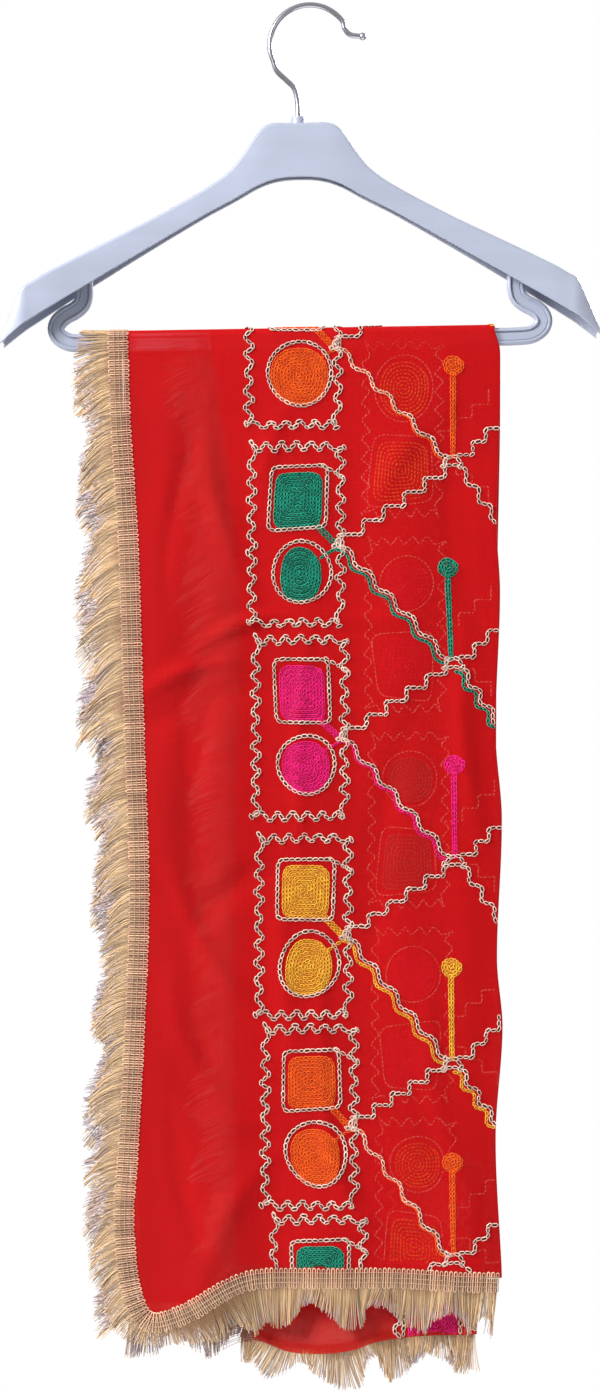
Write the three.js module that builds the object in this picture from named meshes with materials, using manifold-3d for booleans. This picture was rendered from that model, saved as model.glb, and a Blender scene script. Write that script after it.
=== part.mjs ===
// A fringed dupatta of sheer cloth, folded once down its length and hung over the bar of a
// moulded suit hanger. Millimetres, +Z up. +X is to the right as seen from the front, and the
// front faces -Y. The origin is the inner top of the hook, where a rail or peg carries it.
import * as THREE from "three";
import { mergeVertices } from "three/addons/utils/BufferGeometryUtils.js";
import Module from "manifold-3d";

const wasm = await Module();
wasm.setup();

// ---- driving sizes ----
const SEAM = 0.3; // clear gap between pieces that touch

const WIRE = 3.8; // hook wire
const CROOK_R = 29; // crook, to the wire's centreline
const STEM_X = -8.4; // the stem stands a little left of the rail
const TIP_R = 2.7; // rounded end of the hook

const HANGER_X = -7.2; // middle of the hanger
const PLATEAU_Z = -84.1; // top of the moulding, under the hook
const LEAN = Math.tan(THREE.MathUtils.degToRad(0.94)); // it hangs with its right end higher
const MOULDING = 2.2; // wall of the channel
const BOSS = { radius: 5.4, above: 4.7, below: 8.3, socket: 10 };
const BAR = { drop: 155.6, high: 13, deep: 5, web: 2.4, rim: 2.5 };

const CLOTH = 1; // wall of the cloth
const HEADING = 14; // width of the woven heading of the fringe
const TURNED = 4; // what shows of the heading at the rear hem, where it is turned under
const LAYER_GAP = 2.4; // between the two layers of the fold, well below the bar
const NEAR = 1.2; // from the hanger's middle plane to the inner layers, well below the bar
const CONVERGE = 60; // length over which the falls close up under the bar

const OUTER_COLUMNS = 14; // across an outer layer
const INNER_COLUMNS = 10; // across an inner layer
const STATIONS = 16; // down a fall, below the bar
const BY_THE_BAR = [0, 0.02, 0.04, 0.06, 0.085]; // closer stations at its top, as shares of it

// Half of the moulding, from its middle out: the drop of its top and of its lower edge under the
// plateau, and its depth from front to back.
const ARM = [
  { out: 0, top: 0, bottom: 39, deep: 14 },
  { out: 19.5, top: 0, bottom: 41.8, deep: 14 },
  { out: 27.4, top: 3.2, bottom: 44, deep: 14 },
  { out: 33.9, top: 11.5, bottom: 47.3, deep: 14 },
  { out: 41.8, top: 23.1, bottom: 51.6, deep: 14 },
  { out: 50.5, top: 33.5, bottom: 56.3, deep: 14 },
  { out: 67.1, top: 45.5, bottom: 64.9, deep: 14.5 },
  { out: 106, top: 67.1, bottom: 87.3, deep: 17 },
  { out: 150, top: 89.5, bottom: 113.3, deep: 24 },
  { out: 180.4, top: 105.3, bottom: 131.7, deep: 31 },
  { out: 192.6, top: 112.6, bottom: 139.3, deep: 33 },
  { out: 199.9, top: 118.3, bottom: 143.9, deep: 34 },
  { out: 215, top: 151.5, bottom: 156.5, deep: 26 },
];

// Half of the bar's centreline: straight, round the strap notch and up into the channel.
const NOTCH = [
  { out: 0, up: 0 },
  { out: 60, up: 0 },
  { out: 120, up: 0 },
  { out: 158, up: 0 },
  { out: 167.4, up: 1.2 },
  { out: 173.7, up: 5.4 },
  { out: 175.7, up: 10.8 },
  { out: 173.9, up: 15.9 },
  { out: 169.6, up: 19.8 },
  { out: 162.3, up: 23.8 },
  { out: 157.6, up: 28.1 },
  { out: 155.8, up: 33.9 },
  { out: 155.8, up: 44 },
  { out: 155.8, up: 56.2 },
];

// The two falls. "down" is from the crest of the cloth on the bar. left is the free edge of the
// outer layer, right the fold, inner the free edge of the inner layer, and the hems give how far
// down each layer reaches at x. A fold is a soft ridge away from the bar; it leans by lean mm for
// each mm down and runs from its start to its end.
const FRONT = {
  face: -1,
  left: [
    { down: 0, x: -131 },
    { down: 60, x: -129 },
    { down: 160, x: -123 },
    { down: 290, x: -119 },
    { down: 400, x: -115.5 },
    { down: 500, x: -118.5 },
    { down: 600, x: -124 },
    { down: 640, x: -126.5 },
    { down: 690, x: -122 },
    { down: 712, x: -114 },
  ],
  right: [
    { down: 0, x: 133 },
    { down: 16, x: 137 },
    { down: 140, x: 134.5 },
    { down: 190, x: 137 },
    { down: 292, x: 133.8 },
    { down: 353, x: 138.3 },
    { down: 455, x: 134.8 },
    { down: 505, x: 138.8 },
    { down: 584, x: 133.8 },
    { down: 681, x: 138.2 },
  ],
  inner: [
    { down: 0, x: -68 },
    { down: 125, x: -52 },
    { down: 233, x: -46 },
    { down: 350, x: -50 },
    { down: 681, x: -50 },
  ],
  outerHem: [
    { x: -130, down: 712 },
    { x: -114, down: 711 },
    { x: -90, down: 702 },
    { x: -67, down: 688 },
    { x: -45, down: 679.5 },
    { x: 0, down: 677.5 },
    { x: 60, down: 678 },
    { x: 140, down: 681 },
  ],
  innerHem: [
    { x: -70, down: 672 },
    { x: 0, down: 672 },
    { x: 80, down: 675 },
    { x: 140, down: 681 },
  ],
  folds: [
    { x: -106, lean: 0.012, wide: 15, high: 2.0, start: 20, end: 640 },
    { x: -66, lean: 0.016, wide: 19, high: 2.6, start: 110, end: 720 },
    { x: 2, lean: -0.012, wide: 25, high: 1.6, start: 60, end: 600 },
    { x: 66, lean: 0.01, wide: 23, high: 2.4, start: 30, end: 700 },
    { x: 113, lean: -0.004, wide: 16, high: 2.0, start: 190, end: 720 },
  ],
};
const REAR = {
  face: 1,
  left: [
    { down: 0, x: -131 },
    { down: 90, x: -130 },
    { down: 200, x: -126 },
    { down: 330, x: -121.5 },
    { down: 420, x: -119.5 },
    { down: 520, x: -122 },
    { down: 620, x: -125.5 },
    { down: 716, x: -119 },
  ],
  right: [
    { down: 0, x: 133 },
    { down: 16, x: 137.5 },
    { down: 200, x: 135 },
    { down: 400, x: 134 },
    { down: 560, x: 131 },
    { down: 726, x: 120.5 },
  ],
  inner: [
    { down: 0, x: -68 },
    { down: 200, x: -52 },
    { down: 480, x: -44 },
    { down: 731, x: -37.5 },
  ],
  outerHem: [
    { x: -130, down: 716 },
    { x: -40, down: 716 },
    { x: 40, down: 719 },
    { x: 120, down: 726 },
  ],
  innerHem: [
    { x: -60, down: 727 },
    { x: -37.5, down: 731 },
    { x: -16, down: 739.5 },
    { x: 2, down: 741 },
    { x: 29, down: 738 },
    { x: 50, down: 731.6 },
    { x: 76, down: 728.7 },
    { x: 121, down: 726 },
  ],
  folds: [
    { x: -92, lean: 0.02, wide: 18, high: 2.2, start: 30, end: 690 },
    { x: -30, lean: 0.01, wide: 24, high: 2.8, start: 80, end: 740 },
    { x: 38, lean: -0.014, wide: 22, high: 2.2, start: 50, end: 700 },
    { x: 98, lean: -0.01, wide: 20, high: 2.4, start: 140, end: 740 },
  ],
};
const FLUTTER = { high: 3.6, pitch: 152, reach: 55 }; // wave of the free edges
const HEM_WAVE = { high: 4.4, pitch: 92, reach: 130 }; // wave of the hems

// Scallops of the cut fringe: how far the strands reach past the cloth at each tip, and at the
// notch that follows it.
const SIDE_SCALLOPS = [
  { at: 26, reach: 41, notchAt: 60, notch: 28 },
  { at: 88, reach: 39, notchAt: 125, notch: 27 },
  { at: 159, reach: 43, notchAt: 188, notch: 32 },
  { at: 214, reach: 47, notchAt: 240, notch: 34 },
  { at: 275, reach: 49, notchAt: 288, notch: 29 },
  { at: 330, reach: 41, notchAt: 348, notch: 29 },
  { at: 383, reach: 41, notchAt: 404, notch: 30 },
  { at: 448, reach: 36, notchAt: 454, notch: 30 },
  { at: 495, reach: 38, notchAt: 517, notch: 27 },
  { at: 549, reach: 41, notchAt: 572, notch: 26 },
  { at: 603, reach: 40, notchAt: 619, notch: 21 },
  { at: 662, reach: 34, notchAt: 680, notch: 26 },
  { at: 706, reach: 36, notchAt: 740, notch: 24 },
];
const FRONT_HEM_SCALLOPS = [
  { at: -128, reach: 26, notchAt: -104, notch: 24 },
  { at: -88, reach: 30, notchAt: -66, notch: 32 },
  { at: -46, reach: 43, notchAt: -36, notch: 38 },
  { at: -18, reach: 43, notchAt: 2, notch: 25 },
  { at: 30, reach: 44, notchAt: 49, notch: 27 },
  { at: 82, reach: 45, notchAt: 102, notch: 31 },
  { at: 118, reach: 44, notchAt: 128, notch: 33 },
  { at: 134, reach: 46, notchAt: 150, notch: 40 },
];
const REAR_OUTER_SCALLOPS = [
  { at: -116, reach: 29, notchAt: -99, notch: 13 },
  { at: -73.5, reach: 29, notchAt: -52, notch: 11 },
  { at: -38, reach: 20, notchAt: -10, notch: 15 },
  { at: 24, reach: 28, notchAt: 48, notch: 14 },
  { at: 76, reach: 28, notchAt: 98, notch: 14 },
  { at: 112, reach: 27, notchAt: 140, notch: 18 },
];
const REAR_INNER_SCALLOPS = [
  { at: -38, reach: 18, notchAt: -32, notch: 17 },
  { at: -21, reach: 24, notchAt: -7, notch: 8 },
  { at: 26, reach: 29, notchAt: 41, notch: 11 },
  { at: 56, reach: 32, notchAt: 82, notch: 13 },
  { at: 112, reach: 29, notchAt: 140, notch: 20 },
];
const LOCK = { fill: 0.8, tip: 0.42, root: 1.6, droop: 0.1 };
// Locks along the long edges of the outer layers and of both inner layers, and along the hems.
const COUNTS = { front: 60, rear: 48, inner: 18 };
const HEM_COUNTS = { frontOuter: 26, frontInner: 8, rearOuter: 22, rearInner: 18 };

// ---- curves through the tables ----
// A smooth function through rows of a table, by cubic pieces with slopes from the neighbours.
function through(rows, from, to) {
  const slope = rows.map((_, i) => {
    const a = rows[Math.max(i - 1, 0)];
    const b = rows[Math.min(i + 1, rows.length - 1)];
    return (b[to] - a[to]) / (b[from] - a[from]);
  });
  return (value) => {
    if (value <= rows[0][from]) return rows[0][to];
    const last = rows.length - 1;
    if (value >= rows[last][from]) return rows[last][to];
    const i = rows.findIndex((row) => row[from] > value) - 1;
    const span = rows[i + 1][from] - rows[i][from];
    const t = (value - rows[i][from]) / span;
    const h = t * t * (3 - 2 * t);
    const ends = rows[i][to] * (1 - h) + rows[i + 1][to] * h;
    return ends + span * t * (1 - t) * (slope[i] * (1 - t) - slope[i + 1] * t);
  };
}
const smooth = (a, b, v) => THREE.MathUtils.smoothstep(v, a, b);
const lean = (x) => LEAN * (x - HANGER_X);

// ---- solids from rings and walls ----
function asGeometry(points, triangles) {
  let volume = 0;
  for (const [a, b, c] of triangles) {
    volume += points[a].dot(new THREE.Vector3().crossVectors(points[b], points[c]));
  }
  const faces = volume < 0 ? triangles.map(([a, b, c]) => [a, c, b]) : triangles;
  const geometry = new THREE.BufferGeometry().setFromPoints(points);
  geometry.setIndex(faces.flat());
  return geometry;
}

// Triangles that close a ring, wound the way that the ring runs.
function capOf(ring) {
  const normal = new THREE.Vector3();
  ring.forEach((p, i) => {
    const q = ring[(i + 1) % ring.length];
    normal.x += (p.y - q.y) * (p.z + q.z);
    normal.y += (p.z - q.z) * (p.x + q.x);
    normal.z += (p.x - q.x) * (p.y + q.y);
  });
  normal.normalize();
  const across = new THREE.Vector3(0, 1, 0);
  if (Math.abs(normal.y) > 0.9) across.set(1, 0, 0);
  const u = across.clone().cross(normal).normalize();
  const v = normal.clone().cross(u);
  const flat = ring.map((p) => new THREE.Vector2(p.dot(u), p.dot(v)));
  return THREE.ShapeUtils.triangulateShape(flat, []).map(([a, b, c]) => {
    const turn = flat[b].clone().sub(flat[a]).cross(flat[c].clone().sub(flat[a]));
    return turn > 0 ? [a, b, c] : [a, c, b];
  });
}

// A closed solid through rings that all have the same number of points.
function loft(rings) {
  const n = rings[0].length;
  const triangles = [];
  for (let i = 0; i + 1 < rings.length; i++) {
    for (let k = 0; k < n; k++) {
      const a = i * n + k;
      const b = i * n + ((k + 1) % n);
      triangles.push([a, b, b + n], [a, b + n, a + n]);
    }
  }
  const end = (rings.length - 1) * n;
  for (const [a, b, c] of capOf(rings[0])) triangles.push([c, b, a]);
  for (const [a, b, c] of capOf(rings[rings.length - 1])) {
    triangles.push([a + end, b + end, c + end]);
  }
  return asGeometry(rings.flat(), triangles);
}

// A closed wall: a grid of middle points, each with the way out of the cloth, thickened equally
// to both sides. cells[i][j] is {point, out}.
function wall(cells, thick) {
  const m = cells.length;
  const n = cells[0].length;
  const flat = cells.flat();
  const shift = (cell, by) => cell.point.clone().addScaledVector(cell.out, by);
  const points = [
    ...flat.map((cell) => shift(cell, thick / 2)),
    ...flat.map((cell) => shift(cell, -thick / 2)),
  ];
  const far = m * n;
  const triangles = [];
  const rim = (a, b) => triangles.push([b, a, a + far], [b, a + far, b + far]);
  for (let i = 0; i + 1 < m; i++) {
    for (let j = 0; j + 1 < n; j++) {
      const a = i * n + j;
      const [b, c, d] = [a + 1, a + n + 1, a + n];
      triangles.push([a, b, c], [a, c, d]);
      triangles.push([a + far, c + far, b + far], [a + far, d + far, c + far]);
    }
    rim(i * n + n - 1, (i + 1) * n + n - 1);
    rim((i + 1) * n, i * n);
  }
  for (let j = 0; j + 1 < n; j++) {
    rim(j, j + 1);
    rim((m - 1) * n + j + 1, (m - 1) * n + j);
  }
  return asGeometry(points, triangles);
}

// A section swept along a flat path in the XZ plane. Each section point is {side, deep}: side is
// across the path in its plane, deep is along Y.
function sweep(path, section) {
  return loft(
    path.map((p, i) => {
      const a = path[Math.max(i - 1, 0)];
      const b = path[Math.min(i + 1, path.length - 1)];
      const along = b.clone().sub(a).normalize();
      const across = new THREE.Vector3(-along.z, 0, along.x);
      return section.map(({ side, deep }) =>
        p.clone().addScaledVector(across, side).add(new THREE.Vector3(0, deep, 0)),
      );
    }),
  );
}

function solid(geometry) {
  const bare = geometry.clone();
  bare.deleteAttribute("normal");
  bare.deleteAttribute("uv");
  const merged = mergeVertices(bare, 1e-4);
  return new wasm.Manifold(
    new wasm.Mesh({
      numProp: 3,
      vertProperties: Float32Array.from(merged.attributes.position.array),
      triVerts: Uint32Array.from(merged.index.array),
    }),
  );
}

function fromSolid(manifold) {
  const { vertProperties, triVerts } = manifold.getMesh();
  const geometry = new THREE.BufferGeometry();
  geometry.setAttribute("position", new THREE.Float32BufferAttribute(vertProperties, 3));
  geometry.setIndex(Array.from(triVerts));
  return geometry;
}

// ---- hanger ----
function upright(radius, low, high, sides) {
  const geometry = new THREE.CylinderGeometry(radius, radius, high - low, sides);
  geometry.rotateX(Math.PI / 2);
  geometry.translate(STEM_X, 0, (low + high) / 2);
  return geometry;
}

function mouldedBody() {
  const halves = [...ARM.slice(1).reverse().map((row) => ({ ...row, out: -row.out })), ...ARM];
  const channel = loft(
    halves.map(({ out, top, bottom, deep }) => {
      const x = HANGER_X + out;
      const roof = PLATEAU_Z - top + lean(x);
      const foot = PLATEAU_Z - bottom + lean(x);
      const half = deep / 2;
      const round = Math.min(3, (roof - foot) * 0.3);
      const ceiling = roof - Math.min(3, (roof - foot) * 0.4);
      const outline = [
        [-half, foot],
        [-half, roof - round],
        [-half + round * 0.3, roof - round * 0.3],
        [-half + round, roof],
        [half - round, roof],
        [half - round * 0.3, roof - round * 0.3],
        [half, roof - round],
        [half, foot],
        [half - MOULDING, foot],
        [half - MOULDING, ceiling],
        [-half + MOULDING, ceiling],
        [-half + MOULDING, foot],
      ];
      return outline.map(([y, z]) => new THREE.Vector3(x, y, z));
    }),
  );
  const bossTop = PLATEAU_Z + BOSS.above;
  const boss = upright(BOSS.radius, PLATEAU_Z - BOSS.below, bossTop, 20);
  const socket = upright(WIRE / 2 + SEAM, bossTop - BOSS.socket - SEAM, bossTop + 1, 16);
  return fromSolid(solid(channel).add(solid(boss)).subtract(solid(socket)));
}

function bar() {
  const half = BAR.high / 2;
  const deep = BAR.deep / 2;
  const web = BAR.web / 2;
  const bevel = BAR.rim * (1 - Math.SQRT1_2);
  const quarter = [
    { side: half, deep: 0 },
    { side: half - bevel, deep: deep * Math.SQRT1_2 },
    { side: half - BAR.rim, deep },
    { side: half - BAR.rim - 0.4, deep: web },
  ];
  const lower = quarter.map((p) => ({ side: -p.side, deep: p.deep })).reverse();
  const right = [...quarter, ...lower];
  const left = right.slice(1, -1).reverse().map((p) => ({ side: p.side, deep: -p.deep }));
  const place = ({ out, up }) => {
    const x = HANGER_X + out;
    return new THREE.Vector3(x, 0, PLATEAU_Z - BAR.drop + up + lean(x));
  };
  const mirrored = NOTCH.slice(1).reverse().map(({ out, up }) => ({ out: -out, up }));
  const curve = new THREE.CatmullRomCurve3([...mirrored, ...NOTCH].map(place), false, "centripetal");
  const stops = [];
  const straight = 0.16; // share of the curve's length in each notch arm, where the steps are close
  for (let i = 0; i <= 16; i++) stops.push((i / 16) * straight);
  for (let i = 1; i < 5; i++) stops.push(straight + (i / 5) * (1 - 2 * straight));
  for (let i = 0; i <= 16; i++) stops.push(1 - straight + (i / 16) * straight);
  return sweep(stops.map((t) => curve.getPointAt(t)), [...right, ...left]);
}

function hook() {
  const bossTop = PLATEAU_Z + BOSS.above;
  const centre = WIRE / 2 - CROOK_R;
  const points = [
    [STEM_X, bossTop - BOSS.socket],
    [STEM_X, bossTop - BOSS.socket / 2],
    [STEM_X, bossTop + 1],
    [STEM_X - 0.9, bossTop + 14],
    [STEM_X - 3.4, bossTop + 21.5],
    [STEM_X - 8.8, bossTop + 27],
    [STEM_X - 15.5, bossTop + 33.6],
  ];
  for (let degrees = 205; degrees >= 35; degrees -= 17) {
    const a = THREE.MathUtils.degToRad(degrees);
    points.push([CROOK_R * Math.cos(a), centre + CROOK_R * Math.sin(a)]);
  }
  const tip = [38, -20.9];
  points.push([CROOK_R * 0.87, -15.8], [CROOK_R, -19.6], [CROOK_R + 5, -20.6], tip);
  const curve = new THREE.CatmullRomCurve3(
    points.map(([x, z]) => new THREE.Vector3(x, 0, z)),
    false,
    "centripetal",
  );
  const round = [];
  for (let i = 0; i < 8; i++) {
    const a = (i * Math.PI) / 4;
    round.push({ side: (WIRE / 2) * Math.cos(a), deep: (WIRE / 2) * Math.sin(a) });
  }
  const steps = 44;
  const path = Array.from({ length: steps + 1 }, (_, i) => curve.getPointAt(i / steps));
  const ball = new THREE.SphereGeometry(TIP_R, 10, 6).translate(tip[0], 0, tip[1]);
  return fromSolid(solid(sweep(path, round)).add(solid(ball)));
}

// ---- cloth ----
const barTop = (x) => PLATEAU_Z - BAR.drop + BAR.high / 2 + lean(x);
const crest = barTop(HANGER_X) + 2 * (SEAM + CLOTH);
const turnZ = (x) => barTop(x) - BAR.deep / 2; // the cloth turns about the rounded top rim
const innerR = BAR.deep / 2 + SEAM + CLOTH / 2;
const outerR = innerR + CLOTH + SEAM;
const turnStart = Math.asin(SEAM / 2 / (innerR - CLOTH / 2)); // the falls meet over the bar

function prepare(fall) {
  const read = {
    left: through(fall.left, "down", "x"),
    right: through(fall.right, "down", "x"),
    inner: through(fall.inner, "down", "x"),
    outerHem: through(fall.outerHem, "x", "down"),
    innerHem: through(fall.innerHem, "x", "down"),
  };
  const lengthOf = (rows) => rows[rows.length - 1].down;
  return {
    ...fall,
    read,
    leftX: (share) => read.left(share * lengthOf(fall.left)),
    rightX: (share) => read.right(share * lengthOf(fall.right)),
    innerX: (share) => read.inner(share * lengthOf(fall.inner)),
  };
}

// How far the cloth bows away from the bar at x, this far down. Both layers bow alike, but for
// the flutter of the outer layer's free edge.
function bow(fall, x, down, layer, share) {
  let rise = 0;
  for (const fold of fall.folds) {
    const off = (x - fold.x - fold.lean * down) / fold.wide;
    const ends = smooth(fold.start, fold.start + 90, down) * (1 - smooth(fold.end - 90, fold.end, down));
    rise += fold.high * Math.exp(-off * off) * ends;
  }
  const hang = smooth(20, 90, down);
  if (layer === "outer") {
    const near = 1 - smooth(0, FLUTTER.reach, x - fall.leftX(Math.min(share, 1)));
    const beat = (1 + Math.sin((2 * Math.PI * down) / FLUTTER.pitch + fall.face)) / 2;
    rise += FLUTTER.high * near * beat * hang;
  }
  const hem = fall.read.outerHem(x);
  const low = smooth(hem - HEM_WAVE.reach, hem, down);
  rise += (HEM_WAVE.high * low * (1 + Math.cos((2 * Math.PI * x) / HEM_WAVE.pitch + fall.face))) / 2;
  return rise;
}

// A place on the cloth. A station is {turn} round the bar's top, in radians from the crest, or
// {share} of the way down to the hem; extra is mm past the hem. across blends from the outer
// layer at 1 to the inner layer at -1.
function onCloth(fall, station, x, across = 1, extra = 0) {
  const layer = across > 0 ? "outer" : "inner";
  const middle = across > 0.99 ? outerR : across < -0.99 ? innerR : (outerR + innerR) / 2;
  if (station.turn !== undefined) {
    const out = new THREE.Vector3(0, fall.face * Math.sin(station.turn), Math.cos(station.turn));
    return { point: new THREE.Vector3(x, 0, turnZ(x)).addScaledVector(out, middle), out };
  }
  const top = turnZ(x);
  const hem = layer === "outer" ? fall.read.outerHem(x) : fall.read.innerHem(x);
  const z = THREE.MathUtils.lerp(top, crest - hem, station.share) - extra;
  const down = crest - z;
  const close = smooth(BAR.high + 8, BAR.high + 8 + CONVERGE, down);
  const innerDeep = THREE.MathUtils.lerp(innerR, NEAR, close);
  const gap = THREE.MathUtils.lerp(outerR - innerR, LAYER_GAP, close);
  const deep = innerDeep + (gap * (across + 1)) / 2 + bow(fall, x, down, layer, station.share);
  const out = new THREE.Vector3(0, fall.face, 0);
  return { point: new THREE.Vector3(x, fall.face * deep, z), out };
}

const turns = [turnStart, 0.52, 1.05].map((turn) => ({ turn, share: undefined }));
const BELOW_THE_BAR = 0.115;
const shares = [
  ...BY_THE_BAR,
  ...Array.from({ length: STATIONS + 1 }, (_, i) =>
    THREE.MathUtils.lerp(BELOW_THE_BAR, 1, i / STATIONS),
  ),
].map((share) => ({ share }));

// One row of cells across a fall: the outer layer, round the fold, and back along the inner one.
// The way out of the cloth turns with it, so it points back at the bar on the inner layer.
function rowAcross(fall, station, extra = 0) {
  const share = station.share ?? 0;
  const edge = fall.leftX(share);
  const fold = fall.rightX(share);
  const back = fall.innerX(share);
  const outer = onCloth(fall, station, fold, 1, extra);
  const inner = onCloth(fall, station, fold, -1, extra);
  const radius = outer.point.distanceTo(inner.point) / 2;
  const centre = outer.point.clone().add(inner.point).multiplyScalar(0.5);
  centre.x = fold - radius;
  const row = [];
  for (let k = 0; k < OUTER_COLUMNS; k++) {
    const x = THREE.MathUtils.lerp(edge, fold - radius, k / OUTER_COLUMNS);
    row.push(onCloth(fall, station, x, 1, extra));
  }
  for (const degrees of [90, 30, -30, -90]) {
    const a = THREE.MathUtils.degToRad(degrees);
    const out = new THREE.Vector3(Math.cos(a), 0, 0).addScaledVector(outer.out, Math.sin(a));
    row.push({ point: centre.clone().addScaledVector(out, radius), out });
  }
  for (let k = 1; k <= INNER_COLUMNS; k++) {
    const x = THREE.MathUtils.lerp(fold - radius, back, k / INNER_COLUMNS);
    const { point, out } = onCloth(fall, station, x, -1, extra);
    row.push({ point, out: out.negate() });
  }
  return row;
}

const clothOf = (fall) => wall([...turns, ...shares].map((s) => rowAcross(fall, s)), CLOTH);

// ---- trim: a woven heading along each edge, with the cut fringe fused to it ----
function lock(root, along, side, out, length, width, sag) {
  const rings = [0, 1].map((at) => {
    const centre = root.clone().addScaledVector(along, length * at);
    centre.z -= sag * length * at;
    const half = (width * THREE.MathUtils.lerp(1, LOCK.tip, at)) / 2;
    const deep = CLOTH * (0.48 - 0.16 * at);
    return [
      centre.clone().addScaledVector(side, -half).addScaledVector(out, -deep),
      centre.clone().addScaledVector(side, half).addScaledVector(out, -deep),
      centre.clone().addScaledVector(out, deep),
    ];
  });
  return solid(loft(rings));
}

const between = (a, b, t) => ({
  point: a.point.clone().lerp(b.point, t),
  out: a.out.clone().lerp(b.out, t).normalize(),
});

function scallop(rows) {
  const knots = rows.flatMap(({ at, reach, notchAt, notch }) => [
    { at, reach },
    { at: notchAt, reach: notch },
  ]);
  return through(knots, "at", "reach");
}

// The root of a lock, a little inside the heading's outer edge.
const rootOf = (edge, inside, heading) => between(edge, inside, LOCK.root / heading);

function sideTrim(fall, edgeX, across, count, from) {
  const reach = scallop(SIDE_SCALLOPS);
  const hem = across > 0 ? fall.read.outerHem : fall.read.innerHem;
  const last = hem(edgeX(1));
  const cellsAt = (station) => {
    const x = edgeX(Math.min(station.share ?? 0, 1)) - SEAM;
    return [x, x - HEADING].map((at) => onCloth(fall, station, at, across));
  };
  const cells = [...turns, ...shares, { share: 1 + HEADING / last }].map(cellsAt);
  let trim = solid(wall(cells, CLOTH));
  const pitch = (last + HEADING - from) / count;
  for (let i = 0; i < count; i++) {
    const down = from + pitch * (i + 0.5);
    const z = crest - down;
    const k = cells.findIndex((row) => row[1].point.z < z);
    const [a, b] = [cells[k - 1], cells[k]];
    const t = (a[1].point.z - z) / (a[1].point.z - b[1].point.z);
    const { point, out } = rootOf(between(a[1], b[1], t), between(a[0], b[0], t), HEADING);
    const length = reach(down) - HEADING - SEAM + LOCK.root;
    const along = new THREE.Vector3(-1, 0, -0.06 - 0.05 * Math.sin(i * 1.7));
    const side = new THREE.Vector3(0, 0, -1);
    trim = trim.add(lock(point, along, side, out, length, pitch * LOCK.fill, LOCK.droop));
  }
  return fromSolid(trim);
}

// columns are the first and last column of the layer in a row across the fall.
function hemTrim(fall, heading, parts) {
  const [upper, lower] = [SEAM, heading].map((extra) => rowAcross(fall, { share: 1 }, extra));
  let trim = solid(wall([upper, lower], CLOTH));
  for (const { columns, count, scallops } of parts) {
    const reach = scallop(scallops);
    const [first, last] = columns;
    const width = Math.abs(lower[first].point.x - lower[last].point.x) / count;
    for (let i = 0; i < count; i++) {
      const at = THREE.MathUtils.lerp(first, last, (i + 0.5) / count);
      const k = Math.floor(at);
      const edge = between(lower[k], lower[k + 1], at - k);
      const inside = between(upper[k], upper[k + 1], at - k);
      const { point, out } = rootOf(edge, inside, heading);
      const length = reach(point.x) - heading + LOCK.root;
      const along = new THREE.Vector3(0.05 * Math.sin(i * 1.9), 0, -1);
      const side = new THREE.Vector3(1, 0, 0);
      trim = trim.add(lock(point, along, side, out, length, width * LOCK.fill, 0));
    }
  }
  return fromSolid(trim);
}

// ---- the part ----
const front = prepare(FRONT);
const rear = prepare(REAR);
const outerColumns = [0, OUTER_COLUMNS];
const innerColumns = [OUTER_COLUMNS + 3, OUTER_COLUMNS + 3 + INNER_COLUMNS];

const PLASTIC = { color: 0xc9d2e4, roughness: 0.42, metalness: 0 };
const STEEL = { color: 0xb9bcc4, roughness: 0.22, metalness: 1 };
const RED = { color: 0xcc161b, roughness: 0.75, metalness: 0 };
const GOLD_THREAD = { color: 0xd6bc8c, roughness: 0.6, metalness: 0 };

const part = new THREE.Group();
function add(name, geometry, look) {
  const mesh = new THREE.Mesh(geometry, new THREE.MeshStandardMaterial(look));
  mesh.name = name;
  part.add(mesh);
}

add("hanger_hook", hook(), STEEL);
add("hanger_body", mouldedBody(), PLASTIC);
add("hanger_bar", bar(), PLASTIC);
add("cloth_front", clothOf(front), RED);
add("cloth_rear", clothOf(rear), RED);
add("trim_front_side", sideTrim(front, front.leftX, 1, COUNTS.front, 1), GOLD_THREAD);
add("trim_rear_side", sideTrim(rear, rear.leftX, 1, COUNTS.rear, 1), GOLD_THREAD);
add("trim_front_inner", sideTrim(front, front.innerX, -1, COUNTS.inner, 28), GOLD_THREAD);
add("trim_rear_inner", sideTrim(rear, rear.innerX, -1, COUNTS.inner, 28), GOLD_THREAD);
add(
  "trim_front_hem",
  hemTrim(front, HEADING, [
    { columns: outerColumns, count: HEM_COUNTS.frontOuter, scallops: FRONT_HEM_SCALLOPS },
    { columns: innerColumns, count: HEM_COUNTS.frontInner, scallops: FRONT_HEM_SCALLOPS },
  ]),
  GOLD_THREAD,
);
add(
  "trim_rear_hem",
  hemTrim(rear, TURNED, [
    { columns: outerColumns, count: HEM_COUNTS.rearOuter, scallops: REAR_OUTER_SCALLOPS },
    { columns: innerColumns, count: HEM_COUNTS.rearInner, scallops: REAR_INNER_SCALLOPS },
  ]),
  GOLD_THREAD,
);

export default part;
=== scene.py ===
"""A fringed, embroidered dupatta of sheer cloth, hung over the bar of a moulded hanger."""

import math

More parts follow.
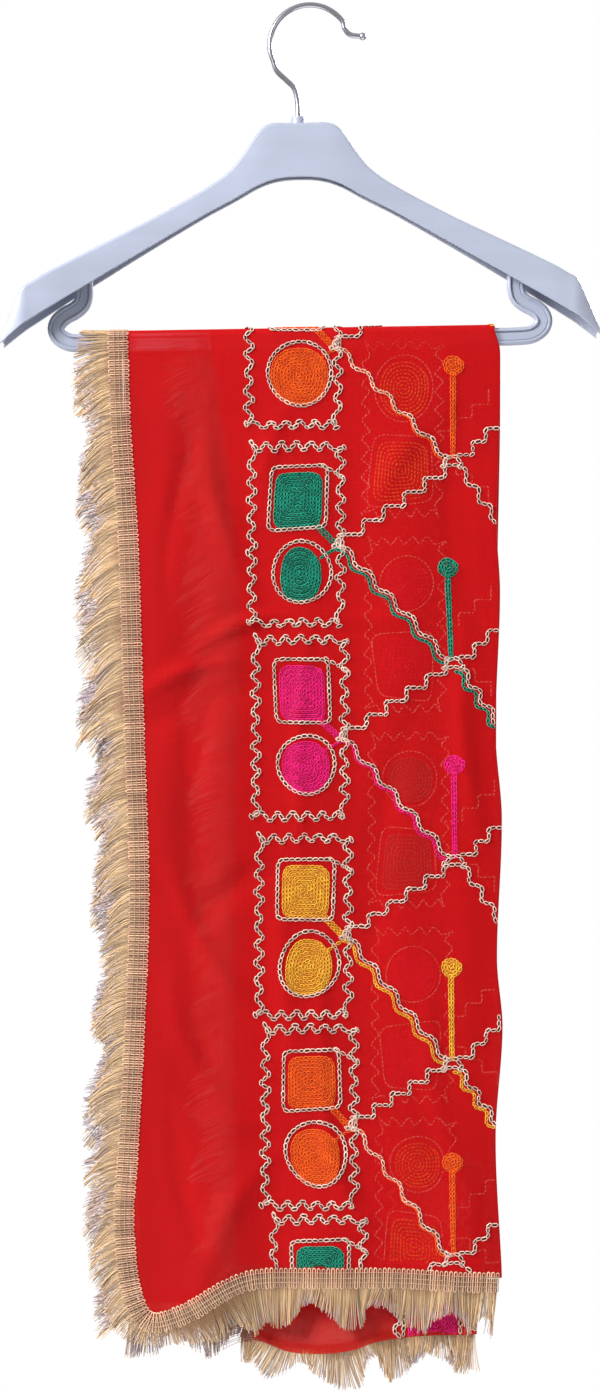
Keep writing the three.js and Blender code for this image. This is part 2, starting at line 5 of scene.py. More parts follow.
import bmesh
import bpy
import numpy as np
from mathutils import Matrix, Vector


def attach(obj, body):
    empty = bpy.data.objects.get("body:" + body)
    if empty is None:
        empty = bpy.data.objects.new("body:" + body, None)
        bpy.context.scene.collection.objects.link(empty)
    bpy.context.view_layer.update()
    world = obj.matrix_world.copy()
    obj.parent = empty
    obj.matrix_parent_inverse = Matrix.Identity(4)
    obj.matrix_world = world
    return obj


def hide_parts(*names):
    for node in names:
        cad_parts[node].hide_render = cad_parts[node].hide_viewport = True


bl_info = {
    "name": "Dupatta on a hanger",
    "version": (1, 0, 0),
    "blender": (4, 5, 0),
    "location": "View3D > Sidebar > Dupatta",
    "description": "Builds a fringed and embroidered dupatta, hung over a moulded hanger",
    "category": "Object",
}

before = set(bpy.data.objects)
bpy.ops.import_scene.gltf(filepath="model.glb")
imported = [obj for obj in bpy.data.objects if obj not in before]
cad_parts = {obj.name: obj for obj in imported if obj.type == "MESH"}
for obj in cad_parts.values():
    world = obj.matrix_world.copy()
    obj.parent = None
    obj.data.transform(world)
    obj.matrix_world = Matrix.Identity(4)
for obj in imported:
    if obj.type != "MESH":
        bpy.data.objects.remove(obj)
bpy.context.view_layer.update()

# ---- sizes that the frame was built with, in millimetres ----
MM = 0.001
HANGER_X = -7.2  # middle of the hanger
PLATEAU_Z = -84.1  # top of the moulding
LEAN = math.tan(math.radians(0.94))  # the hanger hangs with its right end higher
MOULDING = 2.2  # wall of the channel
BOSS = {"radius": 5.4, "above": 4.7, "below": 8.3, "socket": 10.0}
BAR = {"drop": 155.6, "high": 13.0, "deep": 5.0, "web": 2.4, "rim": 2.5}
WIRE = 3.8
STEM_X = -8.4
CROOK_R = 29.0
TIP = {"x": 38.0, "z": -20.9, "radius": 2.7}
SEAM = 0.3
HEADING = 14.0  # width of the woven heading
TURNED = 4.0  # what shows of it at the rear hem
TUCK = 9.5  # how far the strands run in under the heading
LAYER_GAP = 2.4  # between the two layers of the fold
NEAR = 1.2  # from the middle plane to the inner layer
CONVERGE = 60.0  # length over which the falls close up under the bar
CLOTH_WALL = 1.0  # thickness of the frame's cloth
INNER_R = 3.3  # turn of the inner layer over the bar
OUTER_R = 4.6  # turn of the outer layer
OUTER_WIDE, INNER_WIDE, FALL_LONG = 270, 195, 700  # rough sizes of the layers

# Half of the moulding: (out from its middle, drop of its top, drop of its edge, depth).
ARM = (
    (0, 0, 39.2, 14),
    (10, 0, 39.6, 14),
    (19.5, 0, 41.2, 14),
    (27.4, 3.2, 43.9, 14),
    (33.9, 11.5, 47, 14),
    (41.8, 23.1, 51.6, 14),
    (50.5, 33.5, 56.3, 14),
    (67.1, 45.5, 64.9, 14.5),
    (106, 67.1, 87.3, 17),
    (150, 89.5, 113.3, 24),
    (180.4, 105.3, 131.7, 31),
    (192.6, 112.6, 139.3, 33),
    (199.9, 118.3, 143.9, 34),
    (215, 151.5, 156.5, 26),
)
# Half of the bar's centreline: (out, up).
NOTCH = (
    (0, 0),
    (60, 0),
    (120, 0),
    (158, 0),
    (167.4, 1.2),
    (173.7, 5.4),
    (175.7, 10.8),
    (173.9, 15.9),
    (169.6, 19.8),
    (162.3, 23.8),
    (157.6, 28.1),
    (155.8, 33.9),
    (155.8, 44),
    (155.8, 56.2),
)
# The falls: edges as (down from the crest, x), hems as (x, down) and soft folds as
# (x, lean, wide, high, start, end).
FRONT = {
    "face": -1,
    "left": (
        (0, -131), (60, -129), (160, -123), (290, -119), (400, -115.5),
        (500, -118.5), (600, -124), (640, -126.5), (690, -122), (712, -114),
    ),
    "right": (
        (0, 133), (16, 137), (140, 134.5), (190, 137), (292, 133.8),
        (353, 138.3), (455, 134.8), (505, 138.8), (584, 133.8), (681, 138.2),
    ),
    "inner": ((0, -68), (125, -52), (233, -46), (350, -50), (681, -50)),
    "outer_hem": (
        (-130, 712), (-114, 711), (-90, 702), (-67, 688),
        (-45, 679.5), (0, 677.5), (60, 678), (140, 681),
    ),
    "inner_hem": ((-70, 672), (0, 672), (80, 675), (140, 681)),
    "folds": (
        (-106, 0.012, 15, 2.0, 20, 640),
        (-66, 0.016, 19, 2.6, 110, 720),
        (2, -0.012, 25, 1.6, 60, 600),
        (66, 0.01, 23, 2.4, 30, 700),
        (113, -0.004, 16, 2.0, 190, 720),
    ),
}
REAR = {
    "face": 1,
    "left": (
        (0, -131), (90, -130), (200, -126), (330, -121.5),
        (420, -119.5), (520, -122), (620, -125.5), (716, -119),
    ),
    "right": ((0, 133), (16, 137.5), (200, 135), (400, 134), (560, 131), (726, 120.5)),
    "inner": ((0, -68), (200, -52), (480, -44), (731, -37.5)),
    "outer_hem": ((-130, 716), (-40, 716), (40, 719), (120, 726)),
    "inner_hem": (
        (-60, 727), (-37.5, 731), (-16, 739.5), (2, 741),
        (29, 738), (50, 731.6), (76, 728.7), (121, 726),
    ),
    "folds": (
        (-92, 0.02, 18, 2.2, 30, 690),
        (-30, 0.01, 24, 2.8, 80, 740),
        (38, -0.014, 22, 2.2, 50, 700),
        (98, -0.01, 20, 2.4, 140, 740),
    ),
}
FLUTTER = {"high": 3.6, "pitch": 152.0, "reach": 55.0}
HEM_WAVE = {"high": 4.4, "pitch": 92.0, "reach": 130.0}
CREASE_RISE = 1.5  # how far the creases rise, as a multiple of their rows
FLATTEST = -0.4
# Fine creases pressed into the cloth: (x, down, turn in degrees, half length, half width, rise).
CREASES = (
    (-92, 24, 62, 34, 9, 1.8),
    (-70, 120, 78, 60, 7, 1.7),
    (-100, 140, 100, 50, 6, -1.3),
    (-84, 300, 96, 80, 10, -1.6),
    (-92, 249, 159, 34, 6, 2.6),
    (-54, 216, 157, 30, 5, 2.5),
    (-76, 268, 164, 44, 9, -1.7),
    (-66, 130, 32, 28, 6, 1.6),
    (-52, 402, 148, 44, 9, -1.8),
    (-80, 440, 62, 50, 7, 2.0),
    (-20, 470, 84, 70, 9, 1.6),
    (30, 210, 12, 34, 6, 1.2),
    (52, 360, 100, 90, 10, -1.3),
    (20, 610, 70, 45, 8, 1.7),
    (88, 540, 82, 70, 9, 1.6),
    (104, 130, 88, 60, 7, -1.3),
    (60, 100, 120, 40, 8, 1.2),
    (110, 300, 84, 70, 7, 1.4),
    (-60, 640, 118, 50, 9, 2.1),
    (-88, 520, 66, 44, 8, 1.8),
    (-72, 570, 20, 36, 7, 1.7),
    (70, 645, 8, 30, 6, 1.4),
    (-30, 90, 104, 40, 7, 1.2),
    (-94, 610, 80, 60, 7, -1.6),
    (-8, 300, 92, 90, 5, 0.9),
    (8, 520, 88, 80, 5, 0.9),
)

# Cut edge of the fringe: (along the edge, reach past the cloth), tips and notches in turn.
SIDE_REACH = (
    (-760, 30), (-740, 24), (-701, 36), (-668, 27), (-629, 39), (-596, 26), (-560, 41),
    (-520, 28), (-486, 38), (-450, 27), (-409, 40), (-370, 29), (-331, 42), (-300, 30),
    (-262, 45), (-226, 31), (-180, 44), (-150, 30), (-112, 40), (-76, 28), (-40, 40),
    (-14, 29), (26, 41), (60, 28), (88, 39), (125, 27), (159, 43), (188, 32), (214, 47),
    (240, 34), (275, 49), (288, 29), (330, 41), (348, 29), (383, 41), (404, 30),
    (448, 36), (454, 30), (495, 38), (517, 27), (549, 41), (572, 26), (603, 40),
    (619, 21), (662, 34), (680, 26), (706, 30), (730, 28),
)
FRONT_HEM_REACH = (
    (-128, 26), (-104, 24), (-88, 30), (-66, 32), (-46, 43), (-36, 38), (-18, 43),
    (2, 25), (30, 44), (49, 27), (82, 45), (102, 31), (118, 44), (128, 33), (134, 46),
)
REAR_OUTER_REACH = (
    (-116, 29), (-99, 13), (-73.5, 29), (-52, 11), (-38, 20), (-10, 15), (24, 28),
    (48, 14), (76, 28), (98, 14), (112, 27), (140, 18),
)
REAR_INNER_REACH = (
    (-38, 18), (-32, 17), (-21, 24), (-7, 8), (26, 29), (41, 11), (56, 32), (82, 13),
    (112, 29), (140, 20),
)

# Embroidered blocks of the outer layer: (start along the cloth from the crest, thread, square's
# width and height, circle's two radii, the two radii of its filling, how far the round-headed
# stick stands to the left). The rear counts as negative. One block lies over the bar.
OVER_BAR = -54
OUTER_BLOCKS = (
    (-759, "yellow", 40, 44, 21.5, 22.5, 16, 20, 1),
    (-618, "orange", 41, 44, 21, 22.5, 18, 20, 4),
    (-477, "green", 40, 45, 20.5, 22, 14.5, 20, 2),
    (-336, "magenta", 41, 43, 21.5, 23, 17, 20.5, 0),
    (-195, "yellow", 39.5, 44, 21, 22, 15.5, 20, 3),
    (-54, "orange", 41, 44, 22.8, 23, 20.6, 21, 0),
    (88.6, "green", 41, 45, 20.9, 22, 14.5, 20.5, 5),
    (227.8, "magenta", 39, 45.5, 20.5, 21, 17, 19.5, 1.5),
    (370.7, "yellow", 40.4, 43.3, 21.3, 23.4, 16.5, 21, 1.5),
    (507.8, "orange", 40.4, 42.6, 21.6, 23.1, 17.5, 21, 2),
    (644.9, "green", 40.4, 44, 21, 22.5, 15, 20, 2),
)
# Blocks of the inner layer: (start, thread, square's width and height, circle's two radii).
INNER_BLOCKS = (
    (-806, "magenta", 41, 48, 19.5, 20),
    (-669, "green", 42, 48, 19.5, 20),
    (-532, "magenta", 41, 47, 19.5, 20),
    (-395, "orange", 42, 48, 19.5, 20),
    (-259, "magenta", 42, 47, 19.5, 20),
    (-122, "green", 42, 48, 19.5, 20),
    (15, "orange", 45, 50, 21, 24),
    (155.7, "magenta", 42, 48, 19.5, 20),
    (296.4, "green", 41, 47, 19.5, 20),
    (437, "magenta", 41, 47, 19.5, 20),
    (574, "orange", 42, 48, 19.5, 20),
)
# Each thread: how bright the painted shade between its stitches is, the painted red light that
# falls there, and the painted light and shade on the backs of its stitches between the two red
# layers, as red, green and blue.
THREADS = {
    "cream": (0.02, 0.09, (1.0, 0.7, 0.6)),
    "orange": (0.32, 0.05, (1.0, 2.6, 3.0)),
    "green": (0.16, 0.0, (0.4, 0.4, 0.4)),
    "magenta": (0.32, 0.05, (1.0, 1.0, 0.3)),
    "yellow": (0.3, 0.08, (1.0, 1.0, 1.0)),
}
# A coloured line runs beside the lattice's cream one, or peeps out from under it: (how far along
# it starts, how far beside it runs).
SECOND_LINES = {"magenta": (1.5, -0.8), "orange": (2, 0.6)}
SECOND_LINE = (0, -1.5)
# The hollow under the hem's curve, where the fringe is painted in shade: (axis, ramp in metres
# from its low end to its high end).
HOLLOW_SHADE = ((0, (-0.12, -0.09)), (0, (-0.055, -0.035, 1.0, 0.0)), (2, (-0.91, -0.895, 1.0, 0.0)))
# Middle of the column of blocks: (along the cloth, x).
OUTER_COLUMN = (
    (-720, 2), (-400, -6), (-54, -12), (120, -10.5), (300, -7), (440, -4.5), (580, 0), (690, 6),
)
INNER_COLUMN = ((-740, 89.5), (-400, 80), (0, 67), (300, 70), (690, 77.2))
BLOCK = {
    "half": 32.0,  # half width of the zigzag border
    "long": 127.0,  # its length
    "tooth_across": 11.4,
    "tooth_along": 13.2,
    "tooth_high": 3.2,
    "square": (1.5, 36.8),  # middle of the square
    "circle": (4.4, 90.2),  # middle of the circle
    "node": (31.5, 71.0),  # where the stems meet the border
    "meet_x": 104.0,  # where the lattice lines meet, across and along
    "meet": 153.0,
    "late": 2.5,  # how much further on they meet beside the block over the bar
    "later": 0.0205,  # and how that grows down the front, for each millimetre
    "before": 143.2,  # from one meeting place to the next
    "row": 2.3,  # between rows of the fillings
}
INNER_BLOCK = {
    "half": 26.5,
    "long": 121,
    "middle": 61,
    "circle": (1, 31),
    "square": (-1, 90),
    "margin": 3,  # from an outline to its filling
    "lattice": 62,  # how far the lattice lines reach across
}
COIL_POINTS = 64  # for each turn of a filling
SHADE_GROUND_RINGS = 6
FILLING_POINTS = 200  # a line with more of them is a filling
SHADE_GROUND_LIFT = 0.12
STITCH_LIFT = 0.35  # of the threads over the cloth
STITCH_STEP = 1.2  # between the points of a sewn line
LINK_OVERLAP = 1.1  # a link's length as a share of its pitch
EDGE_STEP = 2.0  # between the points of a trimmed edge
REAR_SHOWS = -600  # beyond it, the rear shows under the front hem


# ---- curves through the tables ----
def through(rows):
    """A smooth function through rows of (at, value)."""
    at, value = np.array(rows, float).T
    last = len(at) - 1
    before = np.maximum(np.arange(last + 1) - 1, 0)
    after = np.minimum(np.arange(last + 1) + 1, last)
    slope = (value[after] - value[before]) / (at[after] - at[before])

    def read(x):
        x = np.clip(x, at[0], at[-1])
        i = np.clip(np.searchsorted(at, x, side="right") - 1, 0, last - 1)
        span = at[i + 1] - at[i]
        t = (x - at[i]) / span
        h = t * t * (3 - 2 * t)
        ends = value[i] * (1 - h) + value[i + 1] * h
        return ends + span * t * (1 - t) * (slope[i] * (1 - t) - slope[i + 1] * t)

    return read


def smooth(low, high, x):
    t = np.clip((x - low) / (high - low), 0, 1)
    return t * t * (3 - 2 * t)


def lean(x):
    return LEAN * (np.asarray(x, float) - HANGER_X)


def turn_z(x):
    """Height of the line that the cloth turns about, on the bar."""
    return PLATEAU_Z - BAR["drop"] + BAR["high"] / 2 - BAR["deep"] / 2 + lean(x)


CREST = PLATEAU_Z - BAR["drop"] + BAR["high"] / 2 + 2 * (SEAM + CLOTH_WALL)


def unit(v):
    return v / np.maximum(np.linalg.norm(v, axis=-1, keepdims=True), 1e-9)


class Fall:
    """One side of the hung cloth."""

    def __init__(self, table):
        self.face = table["face"]
        self.folds = table["folds"]
        for name in ("left", "right", "inner", "outer_hem", "inner_hem"):
            setattr(self, name, through(table[name]))
            setattr(self, name + "_end", table[name][-1][0])

    def edge(self, name, share):
        """x of an edge at a share of the way down."""
        return getattr(self, name)(np.asarray(share) * getattr(self, name + "_end"))

    def hem(self, layer, x):
        return (self.outer_hem if layer > 0 else self.inner_hem)(x)

    def length(self, layer, x):
        """Length of the cloth from the crest to its hem at x."""
        radius = OUTER_R if layer > 0 else INNER_R
        return self.hem(layer, x) - (CREST - turn_z(x)) + radius * math.pi / 2

    def bow(self, layer, x, down, share):
        rise = 0.0
        for at, slant, wide, high, start, end in self.folds:
            off = (x - at - slant * down) / wide
            ends = smooth(start, start + 90, down) * (1 - smooth(end - 90, end, down))
            rise = rise + high * np.exp(-off * off) * ends
        hang = smooth(20, 90, down)
        if layer > 0:
            near = 1 - smooth(0, FLUTTER["reach"], x - self.edge("left", share))
            beat = (1 + np.sin(2 * math.pi * down / FLUTTER["pitch"] + self.face)) / 2
            rise = rise + FLUTTER["high"] * near * beat * hang
        hem = self.outer_hem(x)
        low = smooth(hem - HEM_WAVE["reach"], hem, down)
        wave = 1 + np.cos(2 * math.pi * x / HEM_WAVE["pitch"] + self.face)
        rise = rise + HEM_WAVE["high"] * low * wave / 2
        for at, level, turn, long, wide, high in CREASES:
            a = math.radians(turn)
            dx, dz = x - at * -self.face, down - level
            u = (dx * math.cos(a) + dz * math.sin(a)) / long
            v = (dz * math.cos(a) - dx * math.sin(a)) / wide
            bend = v + 0.9 * u * u
            rise = rise + CREASE_RISE * hang * high * np.exp(-bend * bend - u * u)
        return np.maximum(rise, FLATTEST)

    def depth(self, layer, x, down):
        top = CREST - turn_z(x)
        share = np.clip((down - top) / (self.hem(layer, x) - top), 0, 1)
        close = smooth(BAR["high"] + 8, BAR["high"] + 8 + CONVERGE, down)
        deep = INNER_R + (NEAR - INNER_R) * close
        if layer > 0:
            deep = deep + (OUTER_R - INNER_R) * (1 - close) + LAYER_GAP * close
        return deep + self.bow(layer, x, down, share)


front, rear = Fall(FRONT), Fall(REAR)


def on_cloth(layer, x, along):
    """Points of a layer, at x across and along it from the crest: front positive, rear negative."""
    x, along = np.broadcast_arrays(np.asarray(x, float), np.asarray(along, float))
    radius = OUTER_R if layer > 0 else INNER_R
    arc = radius * math.pi / 2
    side = np.where(along >= 0, -1.0, 1.0)
    far = np.abs(along)
    a = np.minimum(far, arc) / radius
    top = turn_z(x)
    down = CREST - top + far - arc
    deep = np.where(side < 0, front.depth(layer, x, down), rear.depth(layer, x, down))
    over = far < arc
    y = side * np.where(over, radius * np.sin(a), deep)
    z = np.where(over, top + radius * np.cos(a), top - (far - arc))
    return np.stack([x, y, z], -1)


def facing(layer, x, along):
    """The way that the right side of the cloth looks."""
    step = 0.8
    across = on_cloth(layer, x + step, along) - on_cloth(layer, x - step, along)
    down = on_cloth(layer, x, along + step) - on_cloth(layer, x, along - step)
    out = unit(np.cross(down, across))
    return out * (-1 if layer < 0 else 1)


# ---- meshes and objects ----
def mesh_of(name, points, edges=(), faces=()):
    mesh = bpy.data.meshes.new(name)
    mesh.from_pydata((np.asarray(points, float).reshape(-1, 3) * MM).tolist(), edges, faces)
    mesh.update()
    return mesh


def piece(name, mesh, materials, replaced, sharp):
    """A finished piece of the object: its mesh, its look and the body that it rides on.

    sharp is the least angle in degrees between two faces that keeps their edge sharp, or 0.
    """
    obj = bpy.data.objects.new(name, mesh)
    bpy.context.scene.collection.objects.link(obj)
    if materials:
        mesh.materials.clear()
        for material in materials:
            mesh.materials.append(material)
    mesh.shade_smooth()
    if sharp:
        mesh.set_sharp_from_angle(angle=math.radians(sharp))
    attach(obj, "root")
    if replaced:
        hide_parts(*replaced)
    return obj


def loft(rings, closed_ends=True):
    """Faces through rings of equal length, given as an array (rings, points, 3)."""
    m, n = rings.shape[:2]
    i, k = np.meshgrid(np.arange(m - 1), np.arange(n), indexing="ij")
    a, b = i * n + k, i * n + (k + 1) % n
    faces = np.stack([a, b, b + n, a + n], -1).reshape(-1, 4).tolist()
    if closed_ends:
        faces.append(list(range(n))[::-1])
        faces.append(list(range((m - 1) * n, m * n)))
    return faces


def outward(mesh):
    """Turns every face of a closed mesh outwards."""
    work = bmesh.new()
    work.from_mesh(mesh)
    bmesh.ops.remove_doubles(work, verts=work.verts, dist=1e-7)
    bmesh.ops.recalc_face_normals(work, faces=work.faces)
    work.to_mesh(mesh)
    work.free()
    return mesh


def solid(name, rings, closed_ends=True):
    """A closed mesh through rings."""
    return outward(mesh_of(name, rings.reshape(-1, 3), faces=loft(rings, closed_ends)))


def grid_faces(rows, columns):
    i, j = np.meshgrid(np.arange(rows - 1), np.arange(columns - 1), indexing="ij")
    a = i * columns + j
    return np.stack([a, a + 1, a + columns + 1, a + columns], -1).reshape(-1, 4).tolist()


def evenly(points, count):
    """Points spaced evenly along a line. count gives how many for its length."""
    run = np.concatenate([[0], np.cumsum(np.linalg.norm(np.diff(points, axis=0), axis=1))])
    at = np.linspace(0, run[-1], count(run[-1]))
    return np.stack([np.interp(at, run, points[:, k]) for k in range(points.shape[1])], -1)


def spline(points, steps):
    """A centripetal curve through flat points, evenly stepped along its length."""
    p = np.array(points, float)
    p = np.vstack([2 * p[0] - p[1], p, 2 * p[-1] - p[-2]])
    out = []
    for i in range(1, len(p) - 2):
        q = p[i - 1 : i + 3]
        t = np.concatenate([[0], np.cumsum(np.sqrt(np.linalg.norm(np.diff(q, axis=0), axis=1)))])
        s = np.linspace(t[1], t[2], 40)[:, None]
        a = [(t[k + 1] - s) / (t[k + 1] - t[k]) * q[k] + (s - t[k]) / (t[k + 1] - t[k]) * q[k + 1]
             for k in range(3)]
        b = [(t[k + 2] - s) / (t[k + 2] - t[k]) * a[k] + (s - t[k]) / (t[k + 2] - t[k]) * a[k + 1]
             for k in range(2)]
        out.append((t[2] - s) / (t[2] - t[1]) * b[0] + (s - t[1]) / (t[2] - t[1]) * b[1])
    return evenly(np.vstack(out), lambda _: steps)


def swept(path, section):
    """Rings of a section (side, deep) along a path in the XZ plane."""
    along = unit(np.gradient(path, axis=0))
    across = np.stack([-along[:, 1], along[:, 0]], -1)
    side, deep = np.array(section, float).T
    xz = path[:, None, :] + across[:, None, :] * side[None, :, None]
    y = np.broadcast_to(deep, xz.shape[:2])
    return np.stack([xz[..., 0], y, xz[..., 1]], -1)


# ---- nodes ----
class Nodes:
    """Makes nodes in a tree, with inputs that are set to a value or linked to a socket."""

    def __init__(self, tree):
        self.tree = tree

    def put(self, value, socket):
        if isinstance(value, bpy.types.NodeSocket):
            self.tree.links.new(value, socket)
        else:
            socket.default_value = value

    def node(self, kind, values=None, **settings):
        made = self.tree.nodes.new(kind)
        for key, value in settings.items():
            setattr(made, key, value)
        for key, value in (values or {}).items():
            self.put(value, made.inputs[key])
        return made.outputs

    def maths(self, operation, a, b=0.5):
        return self.node("ShaderNodeMath", {0: a, 1: b}, operation=operation)[0]

    def times(self, a, b):
        return self.maths("MULTIPLY", a, b)


class Tree(Nodes):
    """A Geometry Nodes tree that grows something along paths, with its sizes as named inputs."""

    def __init__(self, name, sizes):
        super().__init__(bpy.data.node_groups.new(name, "GeometryNodeTree"))
        face = self.tree.interface
        face.new_socket("Path", in_out="INPUT", socket_type="NodeSocketGeometry")
        for label, value in sizes.items():
            kind = "NodeSocketInt" if isinstance(value, int) else "NodeSocketFloat"
            face.new_socket(label, in_out="INPUT", socket_type=kind).default_value = value
        face.new_socket("Material", in_out="INPUT", socket_type="NodeSocketMaterial")
        face.new_socket("Mesh", in_out="OUTPUT", socket_type="NodeSocketGeometry")
        self.given = self.node("NodeGroupInput")

    def geometry(self, kind, values=None, **settings):
        return self.node("GeometryNode" + kind, values, **settings)[0]

    def vector(self, operation, a, b):
        return self.node("ShaderNodeVectorMath", {0: a, 1: b}, operation=operation)[0]

    def scaled(self, a, scale):
        return self.node("ShaderNodeVectorMath", {0: a, "Scale": scale}, operation="SCALE")[0]

    def joined(self, x=0.0, y=0.0, z=0.0):
        return self.node("ShaderNodeCombineXYZ", {0: x, 1: y, 2: z})[0]

    def read(self, name, kind="FLOAT_VECTOR"):
        return self.geometry("InputNamedAttribute", {"Name": name}, data_type=kind)

    def chance(self, low, high, seed):
        """A random number for each point."""
        return self.node("FunctionNodeRandomValue", {2: low, 3: high, 8: seed})[1]

    def keep(self, geometry, name, value):
        values = {"Geometry": geometry, "Name": name, "Value": value}
        return self.geometry("StoreNamedAttribute", values, data_type="FLOAT")

    def path(self):
        return self.geometry("MeshToCurve", {"Mesh": self.given["Path"]})

    def line(self, start, end):
        return self.geometry("CurvePrimitiveLine", {"Start": start, "End": end})

    def resampled(self, curve, length):
        values = {"Curve": curve, "Length": length}
        return self.geometry("ResampleCurve", values, mode="LENGTH")

    def resized(self, geometry, x, y=1.0, z=1.0):
        size = self.joined(x, y, z)
        return self.geometry("Transform", {"Geometry": geometry, "Scale": size})

    def moved(self, geometry, offset):
        return self.geometry("SetPosition", {"Geometry": geometry, "Offset": offset})

    def turned(self, primary, secondary):
        """The turn that lays X on a direction and Z as near as it goes to another."""
        values = {"Primary Axis": primary, "Secondary Axis": secondary}
        return self.node(
            "FunctionNodeAxesToRotation", values, primary_axis="X", secondary_axis="Z"
        )[0]

    def placed(self, points, shape, turn, size):
        values = {"Points": points, "Instance": shape, "Rotation": turn, "Scale": size}
        return self.geometry("InstanceOnPoints", values)

    def tube(self, curve, thick, sides):
        values = {"Resolution": sides, "Radius": self.times(thick, 0.5)}
        profile = self.geometry("CurvePrimitiveCircle", values)
        return self.geometry("CurveToMesh", {"Curve": curve, "Profile Curve": profile})

    def finish(self, *parts):
        """Ends the tree in one real mesh of the parts in their material."""
        made = self.tree.nodes.new("GeometryNodeJoinGeometry")
        for part in reversed(parts):
            self.tree.links.new(part, made.inputs[0])
        real = self.geometry("RealizeInstances", {"Geometry": made.outputs[0]})
        values = {"Geometry": real, "Material": self.given["Material"]}
        self.node("NodeGroupOutput", {0: self.geometry("SetMaterial", values)})
        return self.tree


def chain_tree():
    """Chain stitch: links of thread laid end to end along each path, over beds of painted shade."""
    t = Tree("Chain stitch", {
        "Pitch": 0.0025, "Link length": 0.0033, "Link width": 0.0022, "Thread": 0.0006,
        "Lift": 0.0, "Sides": 6, "Seed": 1,
    })
    g, out = t.given, t.read("out")
    curve = t.resampled(t.path(), g["Pitch"])
    # Flat beds under the links, marked tone -1, are painted in the shade between the threads.
    low = t.keep(t.moved(curve, t.scaled(out, -0.0002)), "tone", -1.0)
    curve = t.moved(curve, t.scaled(out, g["Lift"]))
    curve = t.keep(curve, "tone", t.chance(0.0, 1.0, g["Seed"]))
    ring = t.geometry("CurvePrimitiveCircle", {"Resolution": g["Sides"], "Radius": 0.5})
    link = t.tube(t.resized(ring, g["Link length"], g["Link width"]), g["Thread"], 3)
    shade_bed = t.geometry("MeshCircle", {"Vertices": g["Sides"], "Radius": 0.5}, fill_type="NGON")
    shade_bed = t.resized(shade_bed, g["Link length"], g["Link width"])
    jitter = {0: (-0.16,) * 3, 1: (0.16,) * 3, 8: g["Seed"]}
    jitter = t.node("FunctionNodeRandomValue", jitter, data_type="FLOAT_VECTOR")[0]
    turn = t.turned(t.vector("ADD", t.geometry("InputTangent"), jitter), out)
    size = t.chance(0.88, 1.14, t.maths("ADD", g["Seed"], 5))
    size = t.joined(size, size, 1.0)
    return t.finish(t.placed(curve, link, turn, size), t.placed(low, shade_bed, turn, size))


def dash_tree():
    """The wrong side of chain stitch: short flat dashes with gaps."""
    t = Tree("Stitch backs", {"Pitch": 0.0027, "Dash": 0.0021, "Thread": 0.0011, "Seed": 1})
    g = t.given
    curve = t.resampled(t.path(), g["Pitch"])
    curve = t.keep(curve, "tone", t.chance(0.0, 1.0, g["Seed"]))
    line = t.resized(t.line((-0.5, 0, 0), (0.5, 0, 0)), g["Dash"])
    dash = t.tube(line, g["Thread"], 4)
    turn = t.turned(t.geometry("InputTangent"), t.read("out"))
    return t.finish(t.placed(curve, dash, turn, t.joined(t.chance(0.7, 1.2, g["Seed"]), 1.0, 0.6)))


def heading_tree():
    """A woven heading: looped weft threads across, warp threads along."""
    t = Tree("Woven heading", {
        "Pitch": 0.0034, "Width": 0.014, "Weft": 0.001, "Warp": 0.0006, "Lift": 0.0006, "Seed": 1,
    })
    g, across, out = t.given, t.read("across"), t.read("out")
    line = t.path()
    curve = t.resampled(line, g["Pitch"])
    curve = t.keep(curve, "tone", t.chance(0.0, 1.0, g["Seed"]))
    values = {"Width": 1.0, "Height": t.times(g["Pitch"], 0.52)}
    loop = t.resized(t.geometry("CurvePrimitiveQuadrilateral", values), g["Width"])
    values = {"Curve": loop, "Count": 2, "Radius": t.times(g["Pitch"], 0.25)}
    weft = t.tube(t.geometry("FilletCurve", values, mode="POLY"), g["Weft"], 3)
    size = t.joined(t.chance(0.97, 1.05, g["Seed"]), 1.0, 1.0)
    parts = [t.placed(curve, weft, t.turned(across, out), size)]
    warp = t.keep(t.resampled(line, t.times(g["Pitch"], 0.5)), "tone", 0.45)
    for place in (-0.3, -0.02, 0.22):
        beside = t.scaled(across, t.times(g["Width"], place))
        moved = t.moved(warp, t.vector("ADD", beside, t.scaled(out, g["Lift"])))
        parts.append(t.tube(moved, g["Warp"], 3))
    return t.finish(*parts)


